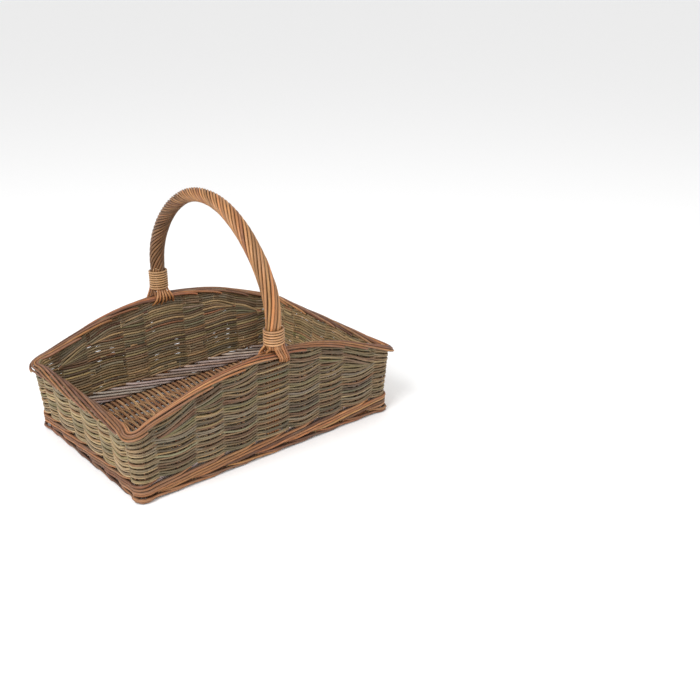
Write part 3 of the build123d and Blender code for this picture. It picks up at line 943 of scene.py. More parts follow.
@dataclass
class Border:
    """The rolled border: rods that start inside the wall and drift over its edge to the outside."""

    form: WallForm
    stakes: StakeLine
    bark: Bark
    seed: int = 41
    reach: float = 5.0
    spread_angle: float = 70.0
    half_width: float = 9.2
    arch: float = 8.1
    drop: float = 7.5
    butt_radius: float = 2.3
    butt_range: tuple[float, float] = (0.95, 1.05)
    tip_radius: float = 1.8
    sides: int = 10
    station: float = 5.0
    tail: float = 9.0
    tail_rings: int = 7
    tail_slope: float = 150.0
    inner_tail: tuple[float, float] = (40.0, -45.0)
    outer_tail: tuple[float, float] = (-20.0, -25.0)
    point: float = 7.0
    point_reach: float = 26.0
    reach_range: tuple[float, float] = (0.97, 1.03)
    start_shift: float = 0.12
    handle_ease: tuple[float, float] = (13.0, 30.0)
    parted_out: tuple[float, float] = (4.4, 4.6)
    parted_fill: tuple[float, float] = (1.45, 0.9)
    parted_rise: tuple[float, float, float] = (1.3, -1.2, -5.2)
    drift_wave: float = 70.0
    out_drift: float = 0.7
    rise_drift: float = 0.8
    relax_rounds: int = 2

    def angle_at(self, share: np.ndarray) -> np.ndarray:
        """Give the angle from straight up for a share of the way from inside to outside."""
        return math.radians(self.spread_angle) * (2 * np.clip(share, 0, 1) - 1)

    def section(self, share: np.ndarray, near_handle: np.ndarray) -> tuple[np.ndarray, np.ndarray]:
        """Find the place across the border for a share of the way from inside to outside.

        Args:
            share: 0 at the inner flank and 1 at the outer one.
            near_handle: 1 beside the handle's rods, where the border parts, and 0 away from them.

        Returns:
            Distances outwards and heights above the border's middle line.
        """
        angle = self.angle_at(share)
        out = self.half_width * np.sin(angle)
        rise = self.arch * np.cos(angle) - self.drop
        away = np.abs(angle) / math.radians(self.spread_angle)
        near, wide = self.parted_out
        stretch, power = self.parted_fill
        part_out = np.sign(angle) * (near + wide * np.minimum(1, (away * stretch) ** power))
        top, slope, bend = self.parted_rise
        part_rise = top + slope * away + bend * away**2
        out = out + (part_out - out) * near_handle
        rise = rise + (part_rise - rise) * near_handle
        before = np.clip(-share, 0, None)
        after = np.clip(share - 1, 0, None)
        out = out + self.inner_tail[0] * before + self.outer_tail[0] * after
        rise = rise + self.inner_tail[1] * before + self.outer_tail[1] * after
        return out, rise

    def roll(self, pieces: dict[str, RodPiece]) -> None:
        """Bend one rod from each stake into the border."""
        rng = np.random.default_rng(self.seed)
        half = self.form.side_run / 2
        for number in range(self.stakes.count):
            reach = self.reach * rng.uniform(*self.reach_range)
            start = number + rng.uniform(-self.start_shift, self.start_shift)
            first, last = self.stakes.run_of(np.array([start, start + reach]))
            count = int((last - first) / self.station) + self.tail_rings
            run = np.linspace(first - self.tail, last + self.tail, count)
            share = (self.stakes.number(run) - start) / reach
            share = np.where(run < first, (run - first) / self.tail_slope, share)
            share = np.where(run > last, 1 + (run - last) / self.tail_slope, share)
            near = np.zeros(len(run))
            for middle in (half, self.form.starts[4] + half):
                away = ring_gap(run, middle, self.stakes.total)
                near = np.maximum(near, 1 - smooth(away, *self.handle_ease))
            out, rise = self.section(share, near)
            out = out + self.point * self.form.corner_share(run, self.point_reach)
            out = out + wander(rng, run, self.drift_wave, self.out_drift)
            rise = rise + wander(rng, run, self.drift_wave, self.rise_drift)
            points, outward = self.form.border_at(run, out, rise)
            angle = self.angle_at(share)[:, None]
            hints = outward * np.sin(angle) + UPWARDS * np.cos(angle)
            radii = np.linspace(self.butt_radius * rng.uniform(*self.butt_range), self.tip_radius, len(run))
            bark = self.bark.pick_run(rng, len(run))
            piece = pieces[self.side_of(points[len(points) // 2])]
            line = relaxed(points, self.relax_rounds)
            piece.lay(rng, line, radii, bark, hints=hints, sides=self.sides, **BOTH_CUT)

    def side_of(self, point: np.ndarray) -> str:
        """Name the side of the basket that a point is nearest to."""
        along = abs(point[0]) / self.form.rim_half
        over = abs(point[1]) / self.form.half_width(self.form.border_corner)
        if along > over:
            return "right" if point[0] > 0 else "left"
        return "back" if point[1] > 0 else "front"


@dataclass
class Base:
    """The woven base: thin weavers across the width, in pairs, over and under lengthwise sticks."""

    form: WallForm
    bark: Bark
    stick_bark: Bark
    seed: int = 57
    middle: float = 9.75
    stick_count: int = 7
    stick_radius: float = 2.6
    first_stick: float = 133.05
    edge: float = 7.6
    stick_margin: float = 5.0
    stick_rings: int = 60
    stick_drift: tuple[float, float] = (90.0, 0.5)
    stick_sides: int = 10
    pitch: float = 2.5
    station: float = 5.4
    fewest_rings: int = 20
    radius: float = 1.5
    radius_range: tuple[float, float] = (0.93, 1.1)
    taper: tuple[float, float] = (1.03, 0.95)
    swing: float = 3.1
    swing_power: float = 0.8
    drift: tuple[float, float] = (40.0, 0.16)
    sides: int = 6

    def sticks(self, piece: RodPiece) -> None:
        """Lay the lengthwise sticks."""
        rng = np.random.default_rng(self.seed)
        reach = self.form.half_length(self.middle) - self.edge - self.stick_margin
        for y in np.linspace(-self.first_stick, self.first_stick, self.stick_count):
            x = np.linspace(-reach, reach, self.stick_rings)
            line = np.column_stack([x, y + wander(rng, x, *self.stick_drift), np.full(len(x), self.middle)])
            bark = self.stick_bark.pick_run(rng, len(x))
            piece.lay(rng, line, self.stick_radius, bark, sides=self.stick_sides, **BOTH_CUT)

    def weavers(self, piece: RodPiece) -> None:
        """Weave the rows across the width."""
        rng = np.random.default_rng(self.seed + 1)
        reach_x = self.form.half_length(self.middle) - self.edge
        reach_y = self.form.half_width(self.middle) - self.edge
        inner = self.form.corner_radius - self.edge
        rows = int(2 * (reach_x - self.radius) / self.pitch)
        step = 2 * self.first_stick / (self.stick_count - 1)
        for row in range(rows + 1):
            x = -reach_x + self.radius + (2 * (reach_x - self.radius)) * row / rows
            over = max(0.0, abs(x) - (reach_x - inner))
            span = reach_y - inner + math.sqrt(max(0.0, inner**2 - over**2)) - self.radius
            y = np.linspace(-span, span, max(self.fewest_rings, int(2 * span / self.station)))
            parity = (row // 2) % 2
            wave = np.cos(math.pi * ((y + self.first_stick) / step + parity))
            wave = np.sign(wave) * np.abs(wave) ** self.swing_power
            height = self.middle + self.swing * wave
            line = np.column_stack([x + wander(rng, y, *self.drift), y, height])
            radii = self.radius * rng.uniform(*self.radius_range) * np.linspace(*self.taper, len(y))
            bark = self.bark.pick_run(rng, len(y))
            piece.lay(rng, line, radii, bark, hints=np.tile(UPWARDS, (len(y), 1)), sides=self.sides)


@dataclass
class Handle:
    """The bow handle: a thick rod in a rope of thinner ones, with bindings and splayed rods at its feet."""

    form: WallForm
    wrap_bark: Bark
    binding_bark: Bark
    leg_bark: Bark
    seed: int = 71
    foot_gap: float = 7.0
    foot_out: float = 4.1
    neck_length: float = 38.0
    taper: float = 5.0
    crown_height: float = 382.5
    outer_radius: float = 12.95
    neck_radius: float = 12.4
    bow_radius: float = 6.0
    bow_end_radius: float = 2.0
    rod_count: int = 13
    leg_places: tuple[float, ...] = (-9.5, -4.75, 4.75, 9.5)
    leg_radius: float = 2.2
    leg_top_share: float = 0.86
    leg_foot: float = 12.0
    leg_above: float = 12.0
    leg_rings: int = 56
    leg_ease: tuple[float, float] = (-9.0, 8.0)
    leg_out_range: tuple[float, float] = (-2.0, 5.0)
    leg_splay: float = 0.12
    leg_splay_gaps: tuple[float, float] = (41.0, 5.0)
    leg_gather: float = 0.3
    leg_drift: tuple[float, float] = (40.0, 0.3)
    fan_radius: float = 1.75
    fan_sides: int = 9
    fan_station: float = 2.2
    fan_fillet: float = 4.0
    fan_foot: float = 2.5
    fan_rise: float = 12.5
    fan_fall: float = 1.5
    fan_tuck: float = 4.0
    fan_over: float = 13.0
    fan_rest: float = 7.2
    fan_tucked: float = 2.5
    fan_top: float = 9.6
    fan_under: float = 10.6
    fan_drift: tuple[float, float] = (20.0, 0.3)
    fan_range: tuple[float, float] = (0.98, 1.08)
    fan_butt: float = 0.94
    fan_arch: float = 1.5
    fan_bend_share: float = 0.45
    fan_rounds: int = 2
    outer_fan_first: float = -6.0
    outer_fan_gap: float = 4.2
    outer_fan_count: int = 5
    outer_fan_lean: float = 17.0
    outer_fan_drop: float = 15.0
    inner_fan_gap: float = 3.6
    inner_fan_count: int = 6
    inner_fan_spread: float = 2.3
    inner_fan_drop: float = 11.0
    tip_foot: float = 20.0
    tip_first_angle: float = -62.0
    tip_step_angle: float = 17.0
    tip_shift: float = 0.05
    tip_longer: float = 7.0
    tip_rings: int = 7
    tip_reach: float = 9.4
    tip_flare: float = 3.1
    tip_flare_height: float = 16.0
    tip_radius: tuple[float, float] = (1.2, 1.5)
    tip_sides: int = 8
    binding_radius: float = 14.6
    binding_thickness: float = 1.78
    binding_pitch: float = 4.15
    binding_rings: int = 28
    binding_lift_drift: tuple[float, float] = (26.0, 0.22)
    binding_out_drift: tuple[float, float] = (20.0, 0.12)
    binding_tuck: float = 3.2
    binding_tuck_angle: float = 0.7
    binding_shade: float = 0.10
    binding_shade_wave: float = 1.37
    lay_places: tuple[float, ...] = (0.0, 0.08, 0.2, 0.35, 0.5, 0.65, 0.85, 0.94, 1.0)
    lay_angles: tuple[float, ...] = (4.0, 8.0, 15.0, 23.0, 32.0, 34.0, 28.0, 22.0, 14.0)
    crown_thinner: float = 1.4
    crown_middle: float = 0.55
    crown_reach: float = 0.3
    # Painted shade: the wrap's far leg is darkened by this share.
    far_painted_shade: float = 0.54
    far_ease: tuple[float, float] = (0.5, 0.7)
    shoulder_rise: float = 0.21
    haunch_shares: tuple[float, float] = (0.744, 0.69)
    crown_share: float = 0.247
    fillet_share: float = 0.98
    station: float = 4.0
    bow_end_rings: int = 20
    bow_end_gap: float = 8.0
    bow_sides: int = 12
    sides: int = 10
    rope_reach: float = 2.2
    rope_limits: tuple[float, float] = (1.6, 2.5)
    rope_range: tuple[float, float] = (0.94, 1.04)
    neck_ease: tuple[float, float] = (-3.0, 9.0)
    loose_ease: tuple[float, float] = (0.05, 0.35)
    spin_drift: tuple[float, float] = (60.0, 0.09)
    lift_drift: tuple[float, float] = (50.0, 0.35)
    sunk: float = 0.15
    proudest: float = 0.1
    spin_least: float = 0.35
    lift_least: float = 0.3

    def __post_init__(self) -> None:
        """Lay out the handle's line from its front foot to its back foot."""
        self.neck_bottom = self.form.arch_height + self.foot_gap
        self.neck_top = self.neck_bottom + self.neck_length
        self.taper_top = self.neck_top + self.taper
        self.half_span = self.form.half_width(self.neck_bottom) + self.foot_out
        rise = self.crown_height - self.taper_top
        shoulder = (self.half_span, self.taper_top + self.shoulder_rise * rise)
        haunch = (self.haunch_shares[0] * self.half_span, self.taper_top + self.haunch_shares[1] * rise)
        crown = (self.crown_share * self.half_span, self.crown_height)
        lower = np.subtract(haunch, shoulder)
        upper = np.subtract(crown, haunch)
        way = unit(np.array([(0.0, 1.0), lower, upper, (-1.0, 0.0)]))
        turn = [math.acos(float(np.clip(a @ b, -1, 1))) for a, b in zip(way, way[1:])]
        shoulder_run = self.fillet_share * (shoulder[1] - self.taper_top)
        crown_run = self.fillet_share * crown[0]
        haunch_run = min(np.linalg.norm(lower) - shoulder_run, np.linalg.norm(upper) - crown_run)
        haunch_run = self.fillet_share * haunch_run
        runs = (shoulder_run, haunch_run, crown_run)
        radii = [run / math.tan(bend / 2) for run, bend in zip(runs, turn)]
        half = [(0, -self.half_span, self.neck_bottom)] + [(0, -y, z) for y, z in (shoulder, haunch, crown)]
        other = [(x, -y, z) for x, y, z in half[::-1]]
        self.line = filleted(half + other, radii + radii[::-1], self.station)
        self.along = lengths_along(self.line)
        way = unit(np.gradient(self.line, axis=0))
        self.right = np.tile([1.0, 0.0, 0.0], (len(self.line), 1))
        self.rear = np.cross(way, self.right)

    def bow(self, piece: RodPiece) -> None:
        """Make the thick rod inside, with thin ends that go down into the walls."""
        rng = np.random.default_rng(self.seed)
        heights = np.linspace(self.leg_foot, self.neck_bottom - self.bow_end_gap, self.bow_end_rings)
        front, back = (
            np.column_stack([np.zeros(len(heights)), side.value * self.form.half_width(heights), heights])
            for side in Side
        )
        line = np.concatenate([front, self.line, back[::-1]])
        radii = np.full(len(line), self.bow_radius)
        radii[: self.bow_end_rings] = radii[-self.bow_end_rings :] = self.bow_end_radius
        piece.lay(rng, line, radii, self.leg_bark.pick(rng), sides=self.bow_sides)

    def wrap(self, piece: RodPiece) -> None:
        """Twist the rods of the wrap round the bow."""
        rng = np.random.default_rng(self.seed + 1)
        share = self.along / self.along[-1]
        angle = np.radians(np.interp(share, self.lay_places, self.lay_angles))
        neck, crown = self.neck_top + self.neck_ease[0], self.taper_top + self.neck_ease[1]
        wider = (self.outer_radius - self.neck_radius) * smooth(self.line[:, 2], neck, crown)
        near_crown = smooth(self.crown_reach - np.abs(share - self.crown_middle), 0, self.crown_reach)
        radius_out = self.neck_radius + wider - self.crown_thinner * near_crown
        room = FULL_TURN * (radius_out - self.rope_reach) * np.cos(angle) / self.rod_count
        thick = np.clip(room / 2, *self.rope_limits)
        centre = radius_out - thick
        turn = np.cumsum(np.tan(angle) / centre * np.gradient(self.along))
        loose = 1 - smooth(share, *self.loose_ease)
        # Painted shade: the wrap's bark darkens towards the far foot.
        shade = (1 - self.far_painted_shade * smooth(share, *self.far_ease))[:, None]
        for number in range(self.rod_count):
            drift = wander(rng, self.along, *self.spin_drift) * (self.spin_least + loose)
            spin = turn + number * FULL_TURN / self.rod_count + drift
            lift = wander(rng, self.along, *self.lift_drift) * (self.lift_least + loose) - self.sunk
            lift = np.minimum(lift, self.outer_radius + self.proudest - centre - thick)
            spokes = np.cos(spin)[:, None] * self.right + np.sin(spin)[:, None] * self.rear
            line = self.line + (centre + lift)[:, None] * spokes
            radii = thick * rng.uniform(*self.rope_range)
            bark = self.wrap_bark.pick_run(rng, len(line)) * shade
            piece.lay(rng, line, radii, bark, hints=spokes, sides=self.sides)

    def around(self, side: Side, reach: np.ndarray, turn: np.ndarray, height: np.ndarray) -> np.ndarray:
        """Find points round a foot of the handle.

        Args:
            side: Which foot.
            reach: Distances from the foot's middle line.
            turn: Angles round it.
            height: Heights above the floor.

        Returns:
            The points.
        """
        deep = side.value * self.half_span + reach * np.sin(turn)
        return np.column_stack([reach * np.cos(turn), deep, height])

    def tips(self, piece: RodPiece, side: Side) -> None:
        """Let a few cut ends stand out above a binding."""
        rng = np.random.default_rng(self.seed + 2 + side.value)
        count, first_top, spin = (6, 31.0, 0.0) if side is Side.FRONT else (3, 36.0, math.pi)
        foot = self.neck_bottom + self.tip_foot
        for number in range(count):
            angle = self.tip_first_angle + self.tip_step_angle * number
            turn = math.radians(angle) * -side.value + rng.uniform(-self.tip_shift, self.tip_shift) + spin
            top = self.neck_bottom + first_top + rng.uniform(0, self.tip_longer)
            heights = np.linspace(foot, top, self.tip_rings)
            reach = self.tip_reach + self.tip_flare * smooth(heights, foot, foot + self.tip_flare_height)
            line = self.around(side, reach, turn, heights)
            radii = np.full(len(line), rng.uniform(*self.tip_radius))
            piece.lay(rng, line, radii, self.binding_bark.pick(rng), sides=self.tip_sides, cut_last=True)

    def bind(self, piece: RodPiece, side: Side) -> None:
        """Wind a binding round a foot of the handle, with both ends tucked under it."""
        turns, lift = (6, 6.5) if side is Side.FRONT else (8, 2.3)
        rng = np.random.default_rng(self.seed + 5 + side.value)
        angle = np.linspace(0, turns * FULL_TURN, turns * self.binding_rings)
        along = angle * self.binding_radius
        height = self.neck_bottom + lift + self.binding_pitch * angle / FULL_TURN
        height = height + wander(rng, along, *self.binding_lift_drift)
        reach = self.binding_radius + wander(rng, along, *self.binding_out_drift)
        tuck = 1 - smooth(np.minimum(angle, angle[-1] - angle), 0, self.binding_tuck_angle)
        line = self.around(side, reach - self.binding_tuck * tuck, angle, height)
        hints = np.column_stack([np.cos(angle), np.sin(angle), np.zeros(len(angle))])
        bark = self.binding_bark.pick_run(rng, len(angle))
        bark = bark * (1 + self.binding_shade * np.sin(angle * self.binding_shade_wave + 1))[:, None]
        piece.lay(rng, line, self.binding_thickness, bark, hints=hints, sides=self.sides, **BOTH_CUT)

    def legs(self, piece: RodPiece, side: Side) -> None:
        """Run the straight rods from a binding down into the wall."""
        rng = np.random.default_rng(self.seed + 9 + side.value)
        heights = np.linspace(self.leg_foot, self.neck_bottom + self.leg_above, self.leg_rings)
        wall = self.form.half_width(heights)
        shift = smooth(heights, *(self.neck_bottom + ease for ease in self.leg_ease))
        low, high = (self.form.arch_height - gap for gap in self.leg_splay_gaps)
        splay = self.leg_splay * smooth(heights, low, high)
        for x in self.leg_places:
            deep = wall + (self.half_span + rng.uniform(*self.leg_out_range) - wall) * shift
            wide = x * (1 + splay - self.leg_gather * shift) + wander(rng, heights, *self.leg_drift)
            line = np.column_stack([wide, side.value * deep, heights])
            radii = np.linspace(self.leg_radius, self.leg_radius * self.leg_top_share, len(heights))
            bark = self.leg_bark.pick_run(rng, len(heights))
            piece.lay(rng, line, radii, bark, sides=self.sides, cut_first=True)

    def fan(
        self,
        piece: RodPiece,
        side: Side,
        way: int,
        starts: Sequence[float],
        ends: Sequence[float],
        drop: float,
    ) -> None:
        """Bend rods from a binding over the border, outside or inside the wall.

        Args:
            piece: The piece that takes them.
            side: Which long side.
            way: 1 outside and -1 inside.
            starts: Where along the wall each leaves the binding.
            ends: Where along the wall each ends.
            drop: How far below the border each ends.
        """
        rng = np.random.default_rng(self.seed + 13 + 3 * side.value + way)
        middle = self.form.border_middle
        over = self.form.half_width(middle) + way * self.fan_over
        foot = self.neck_bottom + self.fan_foot
        top_y, under_y = (self.half_span + way * deep for deep in (self.fan_top, self.fan_under))
        for start_x, end_x in zip(starts, ends):
            low = middle - drop + rng.uniform(-self.fan_fall, self.fan_fall)
            wall = self.form.half_width(low)
            rest, tucked = wall + way * self.fan_rest, wall + way * self.fan_tucked
            spots = [(start_x, top_y, foot + self.fan_rise), (start_x, under_y, foot)]
            bend = middle - self.fan_bend_share * drop
            heights = (middle + self.fan_arch, bend, low, low - self.fan_tuck)
            for deep, height in zip((over, over, rest, tucked), heights):
                share = (foot - height) / (foot - low + self.fan_tuck)
                spots.append((start_x + (end_x - start_x) * share, deep, height))
            corners = [(x, side.value * y, z) for x, y, z in spots]
            line = relaxed(filleted(corners, [self.fan_fillet] * 4, self.fan_station), self.fan_rounds)
            line[:, 0] += wander(rng, np.arange(len(line)) * self.fan_station, *self.fan_drift)
            radii = self.fan_radius * np.linspace(self.fan_butt, rng.uniform(*self.fan_range), len(line))
            bark = self.wrap_bark.pick_run(rng, len(line))
            piece.lay(rng, line, radii, bark, sides=self.fan_sides, cut_last=True)

    def outer_fan(self, piece: RodPiece, side: Side) -> None:
        """Bend the rods of a foot over the border outside the wall, all to one side."""
        steps = range(self.outer_fan_count)
        starts = [-side.value * (self.outer_fan_first + self.outer_fan_gap * step) for step in steps]
        ends = [x - side.value * self.outer_fan_lean for x in starts]
        self.fan(piece, side, 1, starts, ends, self.outer_fan_drop)

    def inner_fan(self, piece: RodPiece, side: Side) -> None:
        """Bend the rods of a foot over the border inside the wall, spread to both sides."""
        middle = (self.inner_fan_count - 1) / 2
        starts = [(step - middle) * self.inner_fan_gap for step in range(self.inner_fan_count)]
        ends = [x * self.inner_fan_spread for x in starts]
        self.fan(piece, side, -1, starts, ends, self.inner_fan_drop)


class NodeSheet:
    """A node tree with short ways to add and join nodes."""

    def __init__(self, tree: bpy.types.NodeTree) -> None:
        """Work on one tree."""
        self.tree = tree

    def add(self, kind: str, **settings: object) -> bpy.types.Node:
        """Add a node and set its properties."""
        node = self.tree.nodes.new(kind)
        for name, value in settings.items():
            setattr(node, name, value)
        return node

    def join(self, source: bpy.types.NodeSocket, target: bpy.types.NodeSocket) -> None:
        """Join two sockets."""
        self.tree.links.new(source, target)

    def feed(self, node: bpy.types.Node, values: dict[object, object]) -> bpy.types.Node:
        """Give a node's inputs, by name or number, their sockets or values."""
        for key, value in values.items():
            if isinstance(value, bpy.types.NodeSocket):
                self.join(value, node.inputs[key])
            else:
                node.inputs[key].default_value = value
        return node

    def math(self, operation: str, first: object, second: object) -> bpy.types.NodeSocket:
        """Add a maths node and give its output."""
        return self.feed(self.add("ShaderNodeMath", operation=operation), {0: first, 1: second}).outputs[0]

    def mix(self, blend: str, share: object, first: object, second: object) -> bpy.types.NodeSocket:
        """Add a colour mix and give its result."""
        node = self.add("ShaderNodeMix", data_type="RGBA", blend_type=blend)
        return self.feed(node, {0: share, 6: first, 7: second}).outputs[2]

    def stretched(self, vector: bpy.types.NodeSocket, scale: Sequence[float]) -> bpy.types.NodeSocket:
        """Scale a vector by a different amount each way."""
        node = self.add("ShaderNodeVectorMath", operation="MULTIPLY")
        return self.feed(node, {0: vector, 1: scale}).outputs[0]

    def noise(self, vector: bpy.types.NodeSocket, detail: float, rough: float) -> bpy.types.NodeSocket:
        """Add a noise at scale 1 and give its value."""
        settings = {"Vector": vector, "Scale": 1.0, "Detail": detail, "Roughness": rough}
        return self.feed(self.add("ShaderNodeTexNoise"), settings).outputs[0]

    def ramp(
        self, value: bpy.types.NodeSocket, low: float, high: float, first: float = 0.0, last: float = 1.0
    ) -> bpy.types.NodeSocket:
        """Map a value from one range to another, clamped and eased."""
        node = self.add("ShaderNodeMapRange", interpolation_type="SMOOTHSTEP")
        return self.feed(node, {0: value, 1: low, 2: high, 3: first, 4: last}).outputs[0]


class BarkGroups:
    """The node groups that every willow finish shares."""

    STREAK_SCALE = (70, 1500, 1500)
    PATCH_SCALE = (28, 130, 130)
    BUD_SCALE = (32, 190, 190)
    SPECK_SCALE = (900, 2600, 2600)
    DARK_WOOD = (0.42, 0.27, 0.13, 1)
    PALE_WOOD = (0.74, 0.58, 0.36, 1)
    HEIGHT_SHARES = (0.35, 0.9, 0.5)

    def __init__(self) -> None:
        """Build both groups."""
        self.figure = self.build_figure()
        self.cut = self.build_cut()

    @staticmethod
    def opened(
        name: str, kind: str, outputs: Sequence[str]
    ) -> tuple[NodeSheet, bpy.types.NodeSocket, bpy.types.Node]:
        """Start a group that takes the grain.

        Args:
            name: The group's name.
            kind: The type of its outputs' sockets.
            outputs: The names of its outputs.

        Returns:
            Its sheet, the grain's socket and the node that takes its results.
        """
        tree = bpy.data.node_groups.new(name, "ShaderNodeTree")
        tree.interface.new_socket("Grain", in_out="INPUT", socket_type="NodeSocketVector")
        for output in outputs:
            tree.interface.new_socket(output, in_out="OUTPUT", socket_type=kind)
        sheet = NodeSheet(tree)
        return sheet, sheet.add("NodeGroupInput").outputs["Grain"], sheet.add("NodeGroupOutput")

    def build_figure(self) -> bpy.types.NodeTree:
        """Build the bark's figure: fine streaks along the rod, broad patches, buds and a height."""
        names = ("Streaks", "Patches", "Buds", "Height")
        sheet, grain, result = self.opened("bark_figure", "NodeSocketFloat", names)
        fine = sheet.noise(sheet.stretched(grain, self.STREAK_SCALE), detail=3, rough=0.6)
        broad = sheet.noise(sheet.stretched(grain, self.PATCH_SCALE), detail=3, rough=0.55)
        streaks = sheet.ramp(fine, low=0.3, high=0.72)
        patches = sheet.ramp(broad, low=0.42, high=0.68)
        cells = sheet.add("ShaderNodeTexVoronoi", feature="F1")
        sheet.feed(cells, {"Scale": 1.0, "Vector": sheet.stretched(grain, self.BUD_SCALE)})
        buds = sheet.ramp(cells.outputs["Distance"], low=0.05, high=0.17, first=1.0, last=0.0)
        shares = zip((streaks, buds, broad), self.HEIGHT_SHARES)
        first, second, third = (sheet.math("MULTIPLY", part, by) for part, by in shares)
        height = sheet.math("ADD", sheet.math("ADD", first, second), third)
        sheet.feed(result, dict(zip(names, (streaks, patches, buds, height))))
        return sheet.tree

    def build_cut(self) -> bpy.types.NodeTree:
        """Build the pale, speckled wood of a cut end."""
        sheet, grain, result = self.opened("cut_wood", "NodeSocketColor", ("Wood",))
        speck = sheet.noise(sheet.stretched(grain, self.SPECK_SCALE), detail=2, rough=0.6)
        wood = sheet.mix("MIX", sheet.ramp(speck, low=0.3, high=0.7), self.DARK_WOOD, self.PALE_WOOD)
        sheet.feed(result, {"Wood": wood})
        return sheet.tree


@dataclass(frozen=True)
class WillowFinish:
    """A finish of willow rods, whose colour each rod brings along."""

    name: str
    patch_colour: tuple[float, float, float, float]
    patch_depth: float = 0.35
    streak_depth: float = 0.45
    bud_depth: float = 0.5
    smoothest: float = 0.42
    roughest: float = 0.72
    relief: float = 0.5
    relief_height: float = 0.0004
    specular: float = 0.5
    streak_light: float = 0.45
    streak_warmth: float = 0.97
    bud_colour: tuple[float, float, float, float] = (0.06, 0.03, 0.015, 1)

    def material(self, groups: BarkGroups) -> bpy.types.Material:
        """Build the material.

        Args:
            groups: The shared node groups.

        Returns:
            The material.
        """
        made = bpy.data.materials.new(self.name)
        made.use_nodes = True
        sheet = NodeSheet(made.node_tree)
        shader = made.node_tree.nodes["Principled BSDF"]
        # The bark attribute holds each rod's own colour with its painted shade and painted light multiplied
        # in.
        bark = sheet.add("ShaderNodeAttribute", attribute_name="bark")
        grain = sheet.add("ShaderNodeAttribute", attribute_name="grain")
        figure = sheet.add("ShaderNodeGroup", node_tree=groups.figure)
        cut = sheet.add("ShaderNodeGroup", node_tree=groups.cut)
        for group in (figure, cut):
            sheet.join(grain.outputs["Vector"], group.inputs["Grain"])
        dark = 1 - self.streak_depth
        light = 1 + self.streak_depth * self.streak_light
        warm = (light, light, light * self.streak_warmth, 1)
        shade = sheet.mix("MIX", figure.outputs["Streaks"], (dark, dark, dark, 1), warm)
        colour = sheet.mix("MULTIPLY", 1.0, bark.outputs["Color"], shade)
        worn = sheet.math("MULTIPLY", figure.outputs["Patches"], self.patch_depth)
        colour = sheet.mix("MIX", worn, colour, self.patch_colour)
        bud = sheet.math("MULTIPLY", figure.outputs["Buds"], self.bud_depth)
        colour = sheet.mix("MIX", bud, colour, self.bud_colour)
        colour = sheet.mix("MIX", bark.outputs["Alpha"], colour, cut.outputs["Wood"])
        rough = sheet.ramp(figure.outputs["Streaks"], 0, 1, self.roughest, self.smoothest)
        bump = sheet.add("ShaderNodeBump")
        height = figure.outputs["Height"]
        sheet.feed(bump, {"Strength": self.relief, "Distance": self.relief_height, "Height": height})
        look = {"Base Color": colour, "Roughness": rough, "Normal": bump.outputs["Normal"]}
        sheet.feed(shader, {**look, "Specular IOR Level": self.specular})
        return made


OLIVE_COLOURS = (
    (130, 104, 72), (114, 93, 65), (106, 94, 71), (146, 120, 84), (124, 110, 90),
    (114, 78, 50), (84, 63, 44), (162, 134, 95), (108, 100, 60),
)
PALE_OLIVE_COLOURS = (
    (166, 138, 98), (144, 120, 84), (180, 152, 112), (130, 114, 86), (144, 104, 70), (136, 124, 82),
)
BROWN_COLOURS = ((150, 94, 56), (126, 76, 46), (174, 120, 74), (96, 58, 38), (138, 94, 68))
GREY_COLOURS = ((214, 192, 184), (190, 170, 164), (228, 208, 194), (176, 142, 122), (164, 144, 138))
RUSSET_COLOURS = ((168, 110, 64), (144, 90, 52), (192, 138, 86), (110, 66, 40), (146, 104, 72))

OLIVE = Bark(OLIVE_COLOURS, (4, 4, 3, 3, 3, 3, 3, 2, 1), 0.2)
PALE_OLIVE = Bark(PALE_OLIVE_COLOURS, (4, 4, 3, 3, 2, 1), 0.16)
BROWN = Bark(BROWN_COLOURS, (4, 3, 2, 3, 2), 0.17)
MAUVE_GREY = Bark(GREY_COLOURS, (4, 3, 3, 1, 2), 0.12)
RUSSET = Bark(RUSSET_COLOURS, (4, 4, 3, 3, 2), 0.17)
GOLDEN = Bark(((176, 118, 70), (160, 104, 60), (190, 134, 84), (146, 92, 54)), (4, 4, 3, 2), 0.14)
STRAW = Bark(((170, 122, 78), (150, 104, 64), (188, 142, 96)), (3, 2, 2), 0.10)
BUFF = Bark(((190, 140, 98), (164, 116, 78), (208, 164, 120), (134, 94, 64)), (4, 3, 3, 2), 0.15)
CHESTNUT = Bark(((112, 72, 48), (94, 60, 42), (130, 88, 58)), (3, 2, 2), 0.12)

MATT_FIGURE = {"streak_depth": 0.4, "bud_depth": 0.4}
FINISHES = {
    "green_willow": WillowFinish("green_willow_bark", (0.14, 0.12, 0.07, 1), **MATT_FIGURE),
    "brown_willow": WillowFinish("brown_willow_bark", (0.16, 0.12, 0.08, 1), patch_depth=0.3),
    "grey_willow": WillowFinish("grey_willow_bark", (0.2, 0.15, 0.13, 1), **MATT_FIGURE),
    "border_willow": WillowFinish("border_willow_bark", (0.2, 0.11, 0.08, 1)),
    "handle_willow": WillowFinish(
        "handle_willow_bark", (0.3, 0.16, 0.07, 1), smoothest=0.34, roughest=0.6, **MATT_FIGURE
    ),
    "binding_willow": WillowFinish(
        "binding_willow_skein", (0.5, 0.3, 0.13, 1), patch_depth=0.3, streak_depth=0.3, bud_depth=0.2,
        smoothest=0.34, roughest=0.55,
    ),
    "base_willow": WillowFinish("base_willow_bark", (0.24, 0.14, 0.08, 1), patch_depth=0.3, bud_depth=0.4),
}


